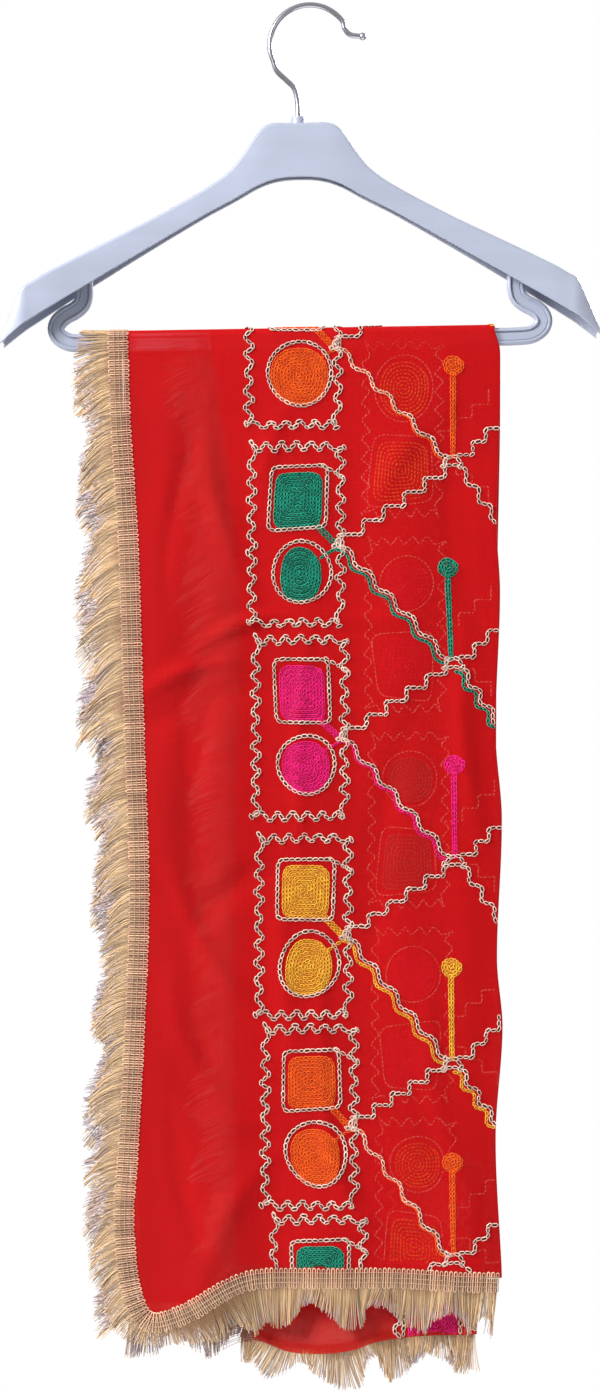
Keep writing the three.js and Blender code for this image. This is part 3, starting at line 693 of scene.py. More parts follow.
def fringe_tree():
    """Cut fringe: strands that leave the heading, sag with the cloth and gather in locks."""
    t = Tree("Cut fringe", {
        "Pitch": 0.0006, "Strand": 0.0005, "Points": 5, "Gather": 0.004, "Lock": 90.0,
        "Ruffle": 0.0014, "Puff": 0.002, "Shade": 0.0, "Seed": 1,
    })
    g, stub_length = t.given, 0.001
    curve = t.resampled(t.path(), g["Pitch"])
    chances = (("tone", 0.0, 1.0), ("grow", 0.9, 1.03), ("sway", -1.0, 1.0), ("lift", -1.0, 1.0))
    for k, (name, low, high) in enumerate(chances):
        curve = t.keep(curve, name, t.chance(low, high, t.maths("ADD", g["Seed"], k + 1)))
    line = {"Curve": t.line((0, 0, 0), (0, 0, stub_length)), "Count": g["Points"]}
    line = t.geometry("ResampleCurve", line, mode="COUNT")
    strands = t.geometry("InstanceOnPoints", {"Points": curve, "Instance": line})
    strands = t.geometry("RealizeInstances", {"Geometry": strands})
    share = t.node("GeometryNodeSplineParameter")["Factor"]
    stub = t.joined(0.0, 0.0, t.times(share, stub_length))
    root = t.vector("SUBTRACT", t.geometry("InputPosition"), stub)
    noise = t.node("ShaderNodeTexNoise", {"Vector": root, "Scale": g["Lock"], "Detail": 1.0})[1]
    lump = t.node("ShaderNodeSeparateXYZ", {0: t.vector("SUBTRACT", noise, (0.5, 0.5, 0.5))})
    loose = t.maths("POWER", share, 2.0)
    far = t.times(share, t.read("grow", "FLOAT"))
    arch = t.times(t.times(far, 4.0), t.maths("SUBTRACT", 1.0, far))
    across = t.times(t.times(lump[0], g["Gather"]), 6.0)
    across = t.maths("ADD", across, t.times(t.read("sway", "FLOAT"), g["Ruffle"]))
    out = t.times(t.maths("ADD", lump[1], t.times(t.read("lift", "FLOAT"), 0.3)), g["Puff"])
    offset = t.vector("ADD", t.scaled(t.read("reach"), far), t.scaled(t.read("arch"), arch))
    for way, much in (("beside", across), ("out", out)):
        offset = t.vector("ADD", offset, t.scaled(t.read(way), t.times(much, loose)))
    strands = t.moved(strands, t.vector("SUBTRACT", offset, stub))
    strands = t.keep(strands, "share", share)
    strands = t.keep(strands, "shade", g["Shade"])
    return t.finish(t.tube(strands, g["Strand"], 3))


def grown(tree, path, values):
    """Runs a tree on a path mesh and gives the result as a plain mesh."""
    source = bpy.data.objects.new("path", path)
    bpy.context.scene.collection.objects.link(source)
    modifier = source.modifiers.new("grow", "NODES")
    modifier.node_group = tree
    for item in tree.interface.items_tree:
        if item.item_type == "SOCKET" and item.in_out == "INPUT" and item.name in values:
            modifier[item.identifier] = values[item.name]
    graph = bpy.context.evaluated_depsgraph_get()
    mesh = bpy.data.meshes.new_from_object(
        source.evaluated_get(graph), preserve_all_data_layers=True, depsgraph=graph
    )
    bpy.data.objects.remove(source)
    if not len(mesh.polygons):
        raise RuntimeError(f"{tree.name} made nothing")
    return mesh


def merged(meshes):
    """Several plain meshes as one."""
    if len(meshes) == 1:
        return meshes[0]
    objects = [bpy.data.objects.new("join", mesh) for mesh in meshes]
    for obj in objects:
        bpy.context.scene.collection.objects.link(obj)
    with bpy.context.temp_override(
        active_object=objects[0], object=objects[0], selected_objects=objects,
        selected_editable_objects=objects,
    ):
        bpy.ops.object.join()
    mesh = objects[0].data
    bpy.data.objects.remove(objects[0])
    return mesh


def path_mesh(name, runs, **vectors):
    """A mesh of separate lines. runs are arrays (n, 3); each vector has one array for each run."""
    edges, start = [], 0
    for run in runs:
        edges += [(start + i, start + i + 1) for i in range(len(run) - 1)]
        start += len(run)
    mesh = mesh_of(name, np.vstack(runs), edges)
    for key, arrays in vectors.items():
        layer = mesh.attributes.new(key, "FLOAT_VECTOR", "POINT")
        layer.data.foreach_set("vector", np.vstack(arrays).astype(np.float32).ravel())
    return mesh


# ---- materials ----
class Look(Nodes):
    """A material's nodes round one Principled shader."""

    def __init__(self, name, **constants):
        self.material = bpy.data.materials.new(name)
        self.material.use_nodes = True
        super().__init__(self.material.node_tree)
        self.shader = self.tree.nodes["Principled BSDF"]
        for key, value in constants.items():
            self.shader.inputs[key.replace("_", " ")].default_value = value

    def ramp(self, value, low, high, to_low=0.0, to_high=1.0):
        ends = {"From Min": low, "From Max": high, "To Min": to_low, "To Max": to_high}
        return self.node("ShaderNodeMapRange", {"Value": value, **ends})[0]

    def mix(self, share, a, b):
        return self.node("ShaderNodeMix", {0: share, 6: a, 7: b}, data_type="RGBA")[2]

    def noise(self, vector, scale, detail=2.0):
        values = {"Vector": vector, "Scale": scale, "Detail": detail}
        return self.node("ShaderNodeTexNoise", values)[0]

    def stretched(self, vector, scale):
        return self.node("ShaderNodeMapping", {"Vector": vector, "Scale": scale})[0]

    def attribute(self, name):
        return self.node("ShaderNodeAttribute", attribute_name=name)["Fac"]

    def place(self, kind="Object"):
        return self.node("ShaderNodeTexCoord")[kind]

    def parted(self, vector):
        return self.node("ShaderNodeSeparateXYZ", {0: vector})

    def link(self, value, socket):
        self.put(value, self.shader.inputs[socket])

    def bump(self, height, strength, distance):
        values = {"Height": height, "Strength": strength, "Distance": distance}
        self.link(self.node("ShaderNodeBump", values)[0], "Normal")


def rgba(colour):
    return tuple(colour) + (1.0,)


def shade_of(colour, factor):
    return rgba(min(1.0, c * factor) for c in colour[:3])


def cloth_look(sizes):
    """Sheer plain weave with uneven threads, let through where the threads stand apart."""
    red = rgba(sizes.cloth_colour)
    look = Look("sheer_red_weave", Roughness=0.75, Specular_IOR_Level=0.08, Sheen_Weight=0.02,
                Sheen_Roughness=0.4, Sheen_Tint=(1.0, 0.45, 0.4, 1.0))
    uv = look.place("UV")
    across = look.noise(look.stretched(uv, (26.0, 900.0, 1.0)), 1.0, 3.0)
    along = look.noise(look.stretched(uv, (900.0, 26.0, 1.0)), 1.0, 3.0)
    slub = look.maths("ADD", across, along)
    broad = look.noise(look.place(), 9.0, 3.0)
    part = look.parted(uv)
    wave = 2 * math.pi / (sizes.thread_pitch * MM)
    warp, weft = (look.maths("SINE", look.times(part[k], wave)) for k in range(2))
    weave = look.times(warp, weft)
    tone = look.mix(look.ramp(slub, 0.7, 1.3), shade_of(red, 0.93), shade_of(red, 1.06))
    tone = look.mix(look.ramp(broad, 0.35, 0.7, 0.0, 0.3), tone, shade_of(red, 0.78))
    tone = look.mix(look.ramp(weave, -1.0, 1.0, 0.0, 0.18), tone, shade_of(red, 0.6))
    look.link(tone, "Base Color")
    sheer = 1.0 - sizes.sheerness
    cover = look.ramp(slub, 0.7, 1.3, sheer - 0.02, sheer + 0.02)
    cover = look.maths("SUBTRACT", cover, look.ramp(weave, -1.0, 1.0, 0.0, 0.04))
    # Pulled tight over the bar, the threads close up.
    tight = look.ramp(look.maths("ABSOLUTE", part[1]), 0.012, 0.03, 0.13, 0.0)
    cover = look.maths("ADD", cover, tight)
    # Light that falls through the cloth spreads in its threads, so more of it gets past.
    lamp = look.node("ShaderNodeLightPath")["Is Shadow Ray"]
    look.link(look.times(cover, look.ramp(lamp, 0.0, 1.0, 1.0, sizes.shading)), "Alpha")
    look.bump(look.maths("ADD", slub, look.times(weave, 0.4)), 0.35, 0.0003)
    return look.material


def thread_look(name, colour, shade_bed):
    """Twisted thread, each stitch a little lighter or darker, and painted shade between stitches.
    """
    look = Look(name, Roughness=0.5, Specular_IOR_Level=0.25)
    ply = look.noise(look.place(), 1600.0)
    tone = look.mix(look.attribute("tone"), shade_of(colour, 0.8), shade_of(colour, 1.4))
    tone = look.mix(look.ramp(ply, 0.35, 0.7, 0.0, 0.2), tone, shade_of(colour, 0.6))
    # Points marked tone -1 take the painted shade colour of the beds.
    shade_ground = look.ramp(look.attribute("tone"), -1.0, -0.5, 1.0, 0.0)
    look.link(look.mix(shade_ground, tone, shade_bed), "Base Color")
    look.bump(ply, 0.4, 0.0002)
    return look.material


def fringe_look(name, front_colour, back_colour):
    """Glossy cut thread in painted shade: browner near its root, mauve-grey in the layer behind."""
    gold, mauve = rgba(front_colour), rgba(back_colour)
    look = Look(name, Roughness=0.42, Specular_IOR_Level=0.5, Anisotropic=0.4, Sheen_Weight=0.08,
                Sheen_Roughness=0.35)
    tone, share, place = look.attribute("tone"), look.attribute("share"), look.place()
    broad = look.noise(place, 55.0)
    base = look.mix(tone, shade_of(gold, 0.5), shade_of(gold, 1.36))
    # Painted shade: dark red-brown where strands run under the heading; darker gold for the hollow.
    root, shade = (
        rgba(g * k for g, k in zip(gold, factors))
        for factors in ((0.42, 0.22, 0.2), (0.5, 0.39, 0.3))
    )
    base = look.mix(look.ramp(share, 0.1, 0.4, 0.95, 0.0), base, root)
    # Painted mauve shade: over the layer behind, most towards the tips, and in patches near all
    # tips.
    mauve_shade = look.times(look.attribute("shade"), look.ramp(share, 0.3, 0.9, 0.35, 1.0))
    mauve_shade = look.times(mauve_shade, look.ramp(broad, 0.35, 0.6, 0.7, 1.0))
    mauve_shade_hint = look.times(look.ramp(broad, 0.5, 0.72), look.ramp(share, 0.5, 1.0, 0.0, 0.5))
    mauve_shade = look.maths("MAXIMUM", mauve_shade, mauve_shade_hint)
    base = look.mix(mauve_shade, base, look.mix(tone, shade_of(mauve, 0.75), shade_of(mauve, 1.15)))
    # Where the hem curves up from its corner, the strands get the painted shade of the heading.
    part = look.parted(place)
    hollow_shade = look.ramp(share, 0.5, 0.85, 0.85, 0.0)
    for k, ends in HOLLOW_SHADE:
        hollow_shade = look.times(hollow_shade, look.ramp(part[k], *ends))
    look.link(look.mix(hollow_shade, base, shade), "Base Color")
    return look.material


def heading_look(name, colour):
    """Woven thread of the heading."""
    gold = rgba(colour)
    look = Look(name, Roughness=0.5, Sheen_Weight=0.06, Sheen_Roughness=0.4)
    ply = look.noise(look.place(), 1500.0)
    tone = look.mix(look.attribute("tone"), shade_of(gold, 0.66), shade_of(gold, 1.3))
    tone = look.mix(look.ramp(ply, 0.35, 0.7, 0.0, 0.45), tone, shade_of(gold, 0.5))
    look.link(tone, "Base Color")
    look.bump(ply, 0.4, 0.0002)
    return look.material


def plastic_look(colours):
    """Pale satin moulding with faint flow marks."""
    pale = rgba(colours.plastic)
    look = Look("pale_satin_plastic", Coat_Weight=0.12, Coat_Roughness=0.3)
    place = look.place()
    flow = look.noise(look.stretched(place, (14.0, 60.0, 60.0)), 1.0, 4.0)
    grain = look.noise(place, 900.0)
    tone = look.mix(look.ramp(flow, 0.35, 0.65), shade_of(pale, 0.96), shade_of(pale, 1.03))
    look.link(tone, "Base Color")
    look.link(look.ramp(flow, 0.3, 0.7, 0.3, 0.42), "Roughness")
    look.bump(look.maths("ADD", grain, look.times(flow, 0.6)), 0.05, 0.0003)
    return look.material


def wire_look(colours):
    """Bright plated wire with fine drawing marks."""
    steel = rgba(colours.wire)
    look = Look("plated_wire", Metallic=1.0, Anisotropic=0.2)
    place = look.place()
    marks = look.noise(look.stretched(place, (2600.0, 2600.0, 160.0)), 1.0)
    cloud = look.noise(place, 70.0, 3.0)
    tone = look.mix(look.ramp(cloud, 0.35, 0.7), shade_of(steel, 1.06), shade_of(steel, 0.86))
    look.link(tone, "Base Color")
    look.link(look.ramp(look.maths("ADD", marks, cloud), 0.6, 1.4, 0.26, 0.36), "Roughness")
    return look.material


# ---- the sheet of cloth ----
def sheet_rows(count):
    """Places down both falls, as (side, share, turn)."""
    shares = np.linspace(0, 1, count)
    turns = np.linspace(0, math.pi / 2, 7)[1:-1]
    rows = [(1, s, None) for s in shares[::-1]]
    rows += [(1, 0.0, a) for a in turns[::-1]] + [(-1, 0.0, 0.0)]
    rows += [(-1, 0.0, a) for a in turns] + [(-1, s, None) for s in shares]
    return rows


def along_of(layer, x, side, share, turn, extra):
    """Distance from the crest for a row, signed: the front is positive."""
    radius = OUTER_R if layer > 0 else INNER_R
    if turn is not None:
        return np.full(np.shape(x), -side * turn * radius)
    fall = front if side < 0 else rear
    arc = radius * math.pi / 2
    reach = fall.length(layer, x) - arc
    return -side * (arc + share * reach + extra * (share >= 1))


def cloth_points(sizes):
    under = sizes.turning
    outer_n, inner_n, rows_n = (
        int(size / sizes.mesh_step) for size in (OUTER_WIDE, INNER_WIDE, FALL_LONG)
    )
    grid, uv = [], []
    for side, share, turn in sheet_rows(rows_n):
        fall = front if side < 0 else rear
        extra = under if side < 0 else 1.0
        left = float(fall.edge("left", share)) - under
        fold = float(fall.edge("right", share))
        back = float(fall.edge("inner", share)) - under

        def at(layer, x):
            return on_cloth(layer, x, along_of(layer, x, side, share, turn, extra))

        edge = np.array([fold])
        gap = np.linalg.norm(at(1, edge)[0] - at(-1, edge)[0]) / 2
        x = np.linspace(left, fold - gap, outer_n)
        first = at(1, x)
        back_x = np.linspace(fold - gap, back, inner_n)
        last = at(-1, back_x)
        middle, arm = (first[-1] + last[0]) / 2, (first[-1] - last[0]) / 2
        turn_at = np.radians([60, 30, 0, -30, -60])[:, None]
        bend = middle + arm * np.sin(turn_at) + np.array([gap, 0, 0]) * np.cos(turn_at)
        grid.append(np.vstack([first, bend, last]))
        s = float(np.mean(along_of(1, x, side, share, turn, extra)))
        u = np.concatenate([x, np.full(5, fold), 2 * fold - back_x])
        uv.append(np.stack([u, np.full(len(u), s)], -1))
    return np.array(grid), np.array(uv)


# ---- charts of the embroidery, as lines of (x, along) ----
def superellipse(cx, cz, rx, rz, a, power):
    c, s = np.cos(a), np.sin(a)
    x = cx + rx * np.sign(c) * np.abs(c) ** (2 / power)
    z = cz + rz * np.sign(s) * np.abs(s) ** (2 / power)
    return np.stack([x, z], -1)


def ring_line(cx, cz, rx, rz, power=2.0):
    a = np.linspace(0, 2 * math.pi, 72, endpoint=False)
    return superellipse(cx, cz, rx, rz, a, power)


def coil_line(cx, cz, rx, rz, power=2.0):
    """Rows that wind from the rim of a shape to its middle."""
    row, small = BLOCK["row"], min(rx, rz)
    turns = (small - row * 0.3) / row
    a = np.linspace(0, 2 * math.pi * turns, int(turns * COIL_POINTS))
    shrink = row * (a / (2 * math.pi) + 0.7 * np.exp(-3 * a))  # the first stitch starts inside
    ratio = max(rx, rz) / small
    kx, kz = (1.0, ratio) if rz > rx else (ratio, 1.0)
    return superellipse(cx, cz, rx - shrink * kx, rz - shrink * kz, a - 0.6, power)


def askew(points, cx, cz, k):
    """The same points, a little skewed and tapered as a hand guides them."""
    x, z = (points - (cx, cz)).T
    a, b, c = 0.045 * math.sin(k * 2.7 + 1), 0.04 * math.sin(k * 1.9), 0.004 * math.sin(k * 3.3 + 2)
    return np.stack([cx + x * (1 + c * z) + a * z, cz + z * (1 - c * x) + b * x], -1)


def zigzag_border(cx, top, half, long):
    """A closed border of teeth round a block."""
    high = BLOCK["tooth_high"]
    corners = [(-half, 0), (half, 0), (half, long), (-half, long)]
    points = []
    for k in range(4):
        a, b = np.array(corners[k], float), np.array(corners[(k + 1) % 4], float)
        size = np.linalg.norm(b - a)
        pitch = BLOCK["tooth_across"] if k % 2 == 0 else BLOCK["tooth_along"]
        n = max(2, round(size / pitch)) * 2
        way = (b - a) / size
        out = np.array([way[1], -way[0]])
        for i in range(n):
            wobble = 0.8 * math.sin(i * 2.3 + k)
            swing = high * (1 if i % 2 == 0 else -1)
            points.append(a + way * (size * i / n + wobble) + out * swing)
    return np.array(points) + (cx, top)


def stairs(x0, z0, x1, z1, steps):
    """A stepped line."""
    points = [(x0, z0)]
    for i in range(1, steps + 1):
        x, z = x0 + (x1 - x0) * i / steps, z0 + (z1 - z0) * i / steps
        points += [(x, points[-1][1]), (x, z)]
    return points


def wavy(x0, z0, x1, z1, waves, high, shift=0.0):
    """A slanting line that steps softly."""
    t = np.linspace(0, 1, waves * 10 + 1)
    way = np.array([x1 - x0, z1 - z0]) / math.hypot(x1 - x0, z1 - z0)
    side = np.array([way[1], -way[0]])
    swing = high * np.sin(2 * math.pi * waves * t) + shift
    return np.array([x0, z0]) + np.outer(t, (x1 - x0, z1 - z0)) + np.outer(swing, side)


class Chart(dict):
    """Lines for each thread, as (points, closed)."""

    def __init__(self):
        super().__init__((thread, []) for thread in THREADS)

    def sew(self, thread, *lines, closed=False):
        self[thread] += [(np.array(line, float), closed) for line in lines]

    def fill(self, thread, shapes, k):
        """Shapes, as (x, z, outline, rows of the filling), each a little askew."""
        for n, (x, z, outline, rows) in enumerate(shapes):
            self.sew("cream", askew(outline, x, z, k + 5 * n), closed=True)
            self.sew(thread, askew(rows, x, z, k + 5 * n))


def outer_chart():
    """Lines of the outer layer."""
    chart, column, b = Chart(), through(OUTER_COLUMN), BLOCK
    row = b["row"]

    def meeting(start):
        """Where the lattice lines beside a block meet, a little further on down the front."""
        past = start - OVER_BAR
        late = b["late"] + b["later"] * past if past > -6 else 0.0
        return start + b["meet"] + late

    for k, (top, thread, wide, high, rx, rz, fx, fz, stick) in enumerate(OUTER_BLOCKS):
        x = float(column(top + b["long"] / 2))
        chart.sew("cream", zigzag_border(x, top, b["half"], b["long"]), closed=True)
        (sx, sz), (cx, cz), (nx, nz) = (
            (x + b[name][0], top + b[name][1]) for name in ("square", "circle", "node")
        )
        chart.fill(thread, (
            (sx, sz, ring_line(sx, sz, wide / 2, high / 2, 11.0),
             coil_line(sx - 0.4, sz + 1.0, wide / 2 - 3.3, high / 2 - 2.0, 6.0)),
            (cx, cz, ring_line(cx, cz, rx, rz),
             coil_line(cx - (rx - fx) * 0.2, cz + (rz - fz) * 0.8, fx, fz, 2.4)),
        ), k)
        mx, mz = b["meet_x"] + 1.2 * math.sin(k * 2.1), meeting(top)
        up, corner, foot = meeting(top - b["before"]), sz - high / 2, sz + high / 2
        chart.sew(
            "cream",
            [(sx + wide / 2 - 2, corner), (x + b["half"] + 1, corner + 8)],
            [(nx - 4, nz + 1), (nx + 1, nz - 8), (nx + 2, nz + 2), (nx - 4, nz + 1)],
            stairs(nx + 2, nz - 7, mx - 7, up + 2, 5),
            wavy(nx + 2, nz + 2, mx - 5, mz - 4, 5, 2.2),
            [(mx - 7, mz + 3), (mx - 5, mz - 3), (mx + 3, mz - 4), (mx + 6, mz + 3),
             (mx, mz + 2), (mx - 7, mz + 3)],
            stairs(mx + 5, mz - 5, mx + 33, mz - 33, 3),
            wavy(mx + 5, mz + 4, mx + 32, mz + 44, 3, 2.6),
        )
        # Two rows from the square and one from the circle run to the node.
        for shift in (-1.1, 1.1):
            ends = (sx + wide / 2 - 6, foot - 1), (nx - 3, nz)
            chart.sew(thread, [(u + shift, v - shift * 0.6) for u, v in ends])
        chart.sew(thread, [(cx + rx - 7, cz - 10), (nx - 12, nz + 8), (nx - 3, nz + 3)])
        start, beside = SECOND_LINES.get(thread, SECOND_LINE)
        chart.sew(thread, wavy(nx + start, nz + 3 - start / 2, mx - 7, mz - 2, 5, 2.2, beside))
        if thread in ("green", "yellow"):
            chart.sew(thread, wavy(mx + 3, mz + 5, mx + 30, mz + 45, 3, 2.4, -1.6))
        # The stick: a filled round head and a stem of two rows.
        hx, hz, head = mx - stick, mz - 70, 7.4
        chart.sew(thread, coil_line(hx, hz, head, head), *(
            [(hx + shift, hz + head), (mx - stick / 2 + shift * 0.6, mz - 4)]
            for shift in (-row / 2, row / 2)
        ))
    return chart


def inner_chart():
    """Lines of the inner layer."""
    chart, column, b = Chart(), through(INNER_COLUMN), INNER_BLOCK
    rim = b["margin"]
    for k, (top, thread, wide, high, rx, rz) in enumerate(INNER_BLOCKS):
        x = float(column(top + b["middle"]))
        chart.sew("cream", zigzag_border(x, top, b["half"], b["long"]), closed=True)
        (sx, sz), (cx, cz) = ((x + b[name][0], top + b[name][1]) for name in ("square", "circle"))
        chart.fill(thread, (
            (cx, cz, ring_line(cx, cz, rx, rz), coil_line(cx, cz, rx - rim, rz - rim, 2.3)),
            (sx, sz, ring_line(sx, sz, wide / 2, high / 2, 7.0),
             coil_line(sx, sz, wide / 2 - rim, high / 2 - rim, 6.0)),
        ), k + 2)
        chart.sew(
            "cream",
            stairs(x + 27, top + 62, x + b["lattice"], top + 34, 3),
            stairs(x + 27, top + 84, x + b["lattice"], top + 112, 3),
        )
    return chart


def sewn_runs(layer, lines, side, last=math.inf):
    """Chart lines laid on a layer and cut off at its edges, and at last along it.

    side is 1 for the right side of the cloth and -1 for the wrong one.
    """
    runs, outs = [], []
    for line, closed in lines:
        pts = np.vstack([line, line[:1]]) if closed else line
        x, s = evenly(pts, lambda long: max(3, int(long / STITCH_STEP))).T
        left, fold, hem = bounds_of(layer, x, s)
        inside = (x > left) & (x < fold) & (np.abs(s) < hem) & (s < last)
        cuts = np.flatnonzero(np.diff(inside.astype(int))) + 1
        for part in np.split(np.arange(len(x)), cuts):
            if len(part) < 3 or not inside[part[0]]:
                continue
            out = facing(layer, x[part], s[part])
            runs.append(on_cloth(layer, x[part], s[part]) + out * (STITCH_LIFT * side))
            outs.append(out)
    return runs, outs


def bounds_of(layer, x, s):
    """Edge, fold and hem of a layer beside points (x, along)."""
    share = np.clip(np.abs(s) / FALL_LONG, 0, 1)
    edge_of = "left" if layer > 0 else "inner"
    left, fold, hem = (
        np.where(s >= 0, *(read(fall) for fall in (front, rear)))
        for read in (
            lambda fall: fall.edge(edge_of, share),
            lambda fall: fall.edge("right", share),
            lambda fall: fall.length(layer, x),
        )
    )
    return left + 2, fold - 1.8, hem - 1.2


def shade_grounds(layer, lines, lift, look):
    """A flat patch under each filling, painted in the shade between its rows; a filling is a line
    that winds in from its rim.
    """
    meshes = []
    for line, _ in lines:
        if len(line) < FILLING_POINTS:
            continue
        rim, middle = line[:COIL_POINTS], line[-1]
        rings = np.linspace(1.0, 0.02, SHADE_GROUND_RINGS)[:, None, None] * (rim - middle) + middle
        x, s = rings.reshape(-1, 2).T
        left, fold, hem = bounds_of(layer, x, s)
        x, s = np.clip(x, left, fold), np.clip(s, -hem, hem)
        points = on_cloth(layer, x, s) + facing(layer, x, s) * lift
        faces = loft(points.reshape(SHADE_GROUND_RINGS, COIL_POINTS, 3), False)
        mesh = mesh_of("shade_ground", points, faces=faces)
        # Tone -1 paints the patch in the thread's shade colour.
        tone = mesh.attributes.new("tone", "FLOAT", "POINT")
        tone.data.foreach_set("value", np.full(len(points), -1.0, np.float32))
        mesh.materials.append(look)
        meshes.append(mesh)
    return meshes


# ---- edges for the trim ----
def rounded(points, radius):
    """A line in (x, along) with its corners rounded, evenly stepped."""
    even = evenly(np.array(points, float), lambda long: int(long / EDGE_STEP))
    n = int(radius / EDGE_STEP)
    kernel = np.hanning(2 * n + 3)[1:-1]
    kernel /= kernel.sum()
    pad = np.vstack([
        2 * even[0] - even[1 : n + 1][::-1], even, 2 * even[-1] - even[-n - 1 : -1][::-1],
    ])
    return np.stack([np.convolve(pad[:, k], kernel, "valid") for k in range(2)], -1)


def trimmed_edge(layer, line, reach_of, offset, width, lift, sag, flip):
    """A path along an edge with the directions that the trim needs.

    The line is in (x, along), walked with the cloth on its left. offset is how far the heading
    starts past the edge, reach_of gives the fringe's reach past the edge for each point, and sag
    is how far a strand that leaves sideways drops, as a share of its length.
    """
    way = unit(np.gradient(line, axis=0))
    past = np.stack([way[:, 1], -way[:, 0]], -1) * flip
    x, s = line.T

    def at(d, drop=0.0):
        return on_cloth(layer, x + past[:, 0] * d, s + past[:, 1] * d + np.sign(s) * drop)

    inside, outside = at(offset), at(offset + width)
    across = unit(outside - inside)
    beside = unit(np.gradient(inside, axis=0))
    out = facing(layer, x, s)
    start = offset + width - TUCK
    reach = np.maximum(reach_of(line) - start, TUCK + 3)
    hang = sag * (reach - TUCK) * np.abs(past[:, 0]) * smooth(0, 40, np.abs(s))
    root, halfway, tip = at(start), at(start + reach / 2, hang * 0.22), at(start + reach, hang)
    return {
        "middle": (inside + outside) / 2 + out * lift, "root": root + out * lift * 0.5,
        "across": across, "beside": beside, "out": out,
        "reach": (tip - root) * MM, "arch": (halfway - (root + tip) / 2) * MM,
    }


def side_points(name, layer):
    """The long edge from the rear hem over the bar to the front hem, in (x, along)."""
    rows = []
    for side, share, turn in sheet_rows(120):
        fall = front if side < 0 else rear
        x = float(fall.edge(name, share))
        rows.append((x, float(along_of(layer, np.array(x), side, share, turn, 0.0))))
    return rows


def hem_points(fall, layer, start, end, step=4.0):
    sign = -fall.face
    x = np.arange(start, end, step)
    return [(float(v), float(sign * fall.length(layer, v))) for v in x]


# ---- sizes and colours that a user would change ----
def millimetres(name, text, value, low=0.05, high=500.0):
    return bpy.props.FloatProperty(name=name, description=text, default=value, min=low, max=high)


def colour(name, text, value):
    return bpy.props.FloatVectorProperty(
        name=name, description=text, default=value, subtype="COLOR", size=3, min=0.0, max=1.0
    )


def portion(name, text, value, high):
    return bpy.props.FloatProperty(
        name=name, description=text, default=value, min=0.0, max=high, subtype="FACTOR"
    )


class DupattaSizes(bpy.types.PropertyGroup):
    """Sizes of the cloth, its trim and its stitches, in millimetres."""

    mesh_step: millimetres("Mesh step", "Spacing of the cloth's mesh", 3.4, 1.5, 20)
    turning: millimetres("Turning", "Cloth that lies under the heading", 4.0, 0, 13)
    thread_pitch: millimetres("Thread pitch", "Spacing of the threads of the weave", 0.55)
    sheerness: portion("Sheerness", "How much shows through one layer", 0.2, 0.6)
    shading: portion("Shading", "How much the cloth shades what is behind it", 0.4, 1.0)
    cloth_colour: colour("Cloth", "Colour of the cloth", (0.48, 0.0034, 0.005))
    stitch_pitch: millimetres("Stitch pitch", "Length of one chain stitch", 4.1)
    fill_pitch: millimetres("Filling pitch", "Length of one stitch of the fillings", 3.0)
    stitch_width: millimetres("Stitch width", "Width of one chain stitch", 3.0)
    fill_width: millimetres("Filling width", "Width of one stitch of the fillings", 2.5)
    stitch_thread: millimetres("Stitch thread", "Thickness of the thread", 0.78)
    fill_thread: millimetres("Filling thread", "Thickness of the thread of the fillings", 0.72)
    loop_pitch: millimetres("Loop pitch", "Spacing of the heading's loops", 3.4)
    strand_pitch: millimetres("Strand pitch", "Spacing of the fringe's strands", 0.62)
    strand: millimetres("Strand", "Thickness of a strand", 0.62)


class DupattaColours(bpy.types.PropertyGroup):
    """Colours of the threads and of the hanger."""

    cream: colour("Cream", "Outlines", (0.76, 0.53, 0.44))
    orange: colour("Orange", "Filling", (1.0, 0.1, 0.004))
    green: colour("Green", "Filling", (0.006, 0.28, 0.175))
    magenta: colour("Magenta", "Filling", (0.95, 0.006, 0.18))
    yellow: colour("Yellow", "Filling", (0.97, 0.4, 0.03))
    fringe: colour("Fringe", "Cut fringe", (0.58, 0.38, 0.2))
    fringe_behind: colour("Fringe behind", "Fringe in shade", (0.5, 0.41, 0.45))
    # Painted shade: the trim between the layers is dark red, as its light comes through red cloth.
    fringe_in_red_shade: colour("Fringe inside", "Fringe between the layers", (0.4, 0.13, 0.1))
    heading: colour("Heading", "Woven heading", (0.69, 0.445, 0.29))
    plastic: colour("Plastic", "Moulded hanger", (0.355, 0.385, 0.482))
    wire: colour("Wire", "Plated hook", (0.46, 0.46, 0.51))


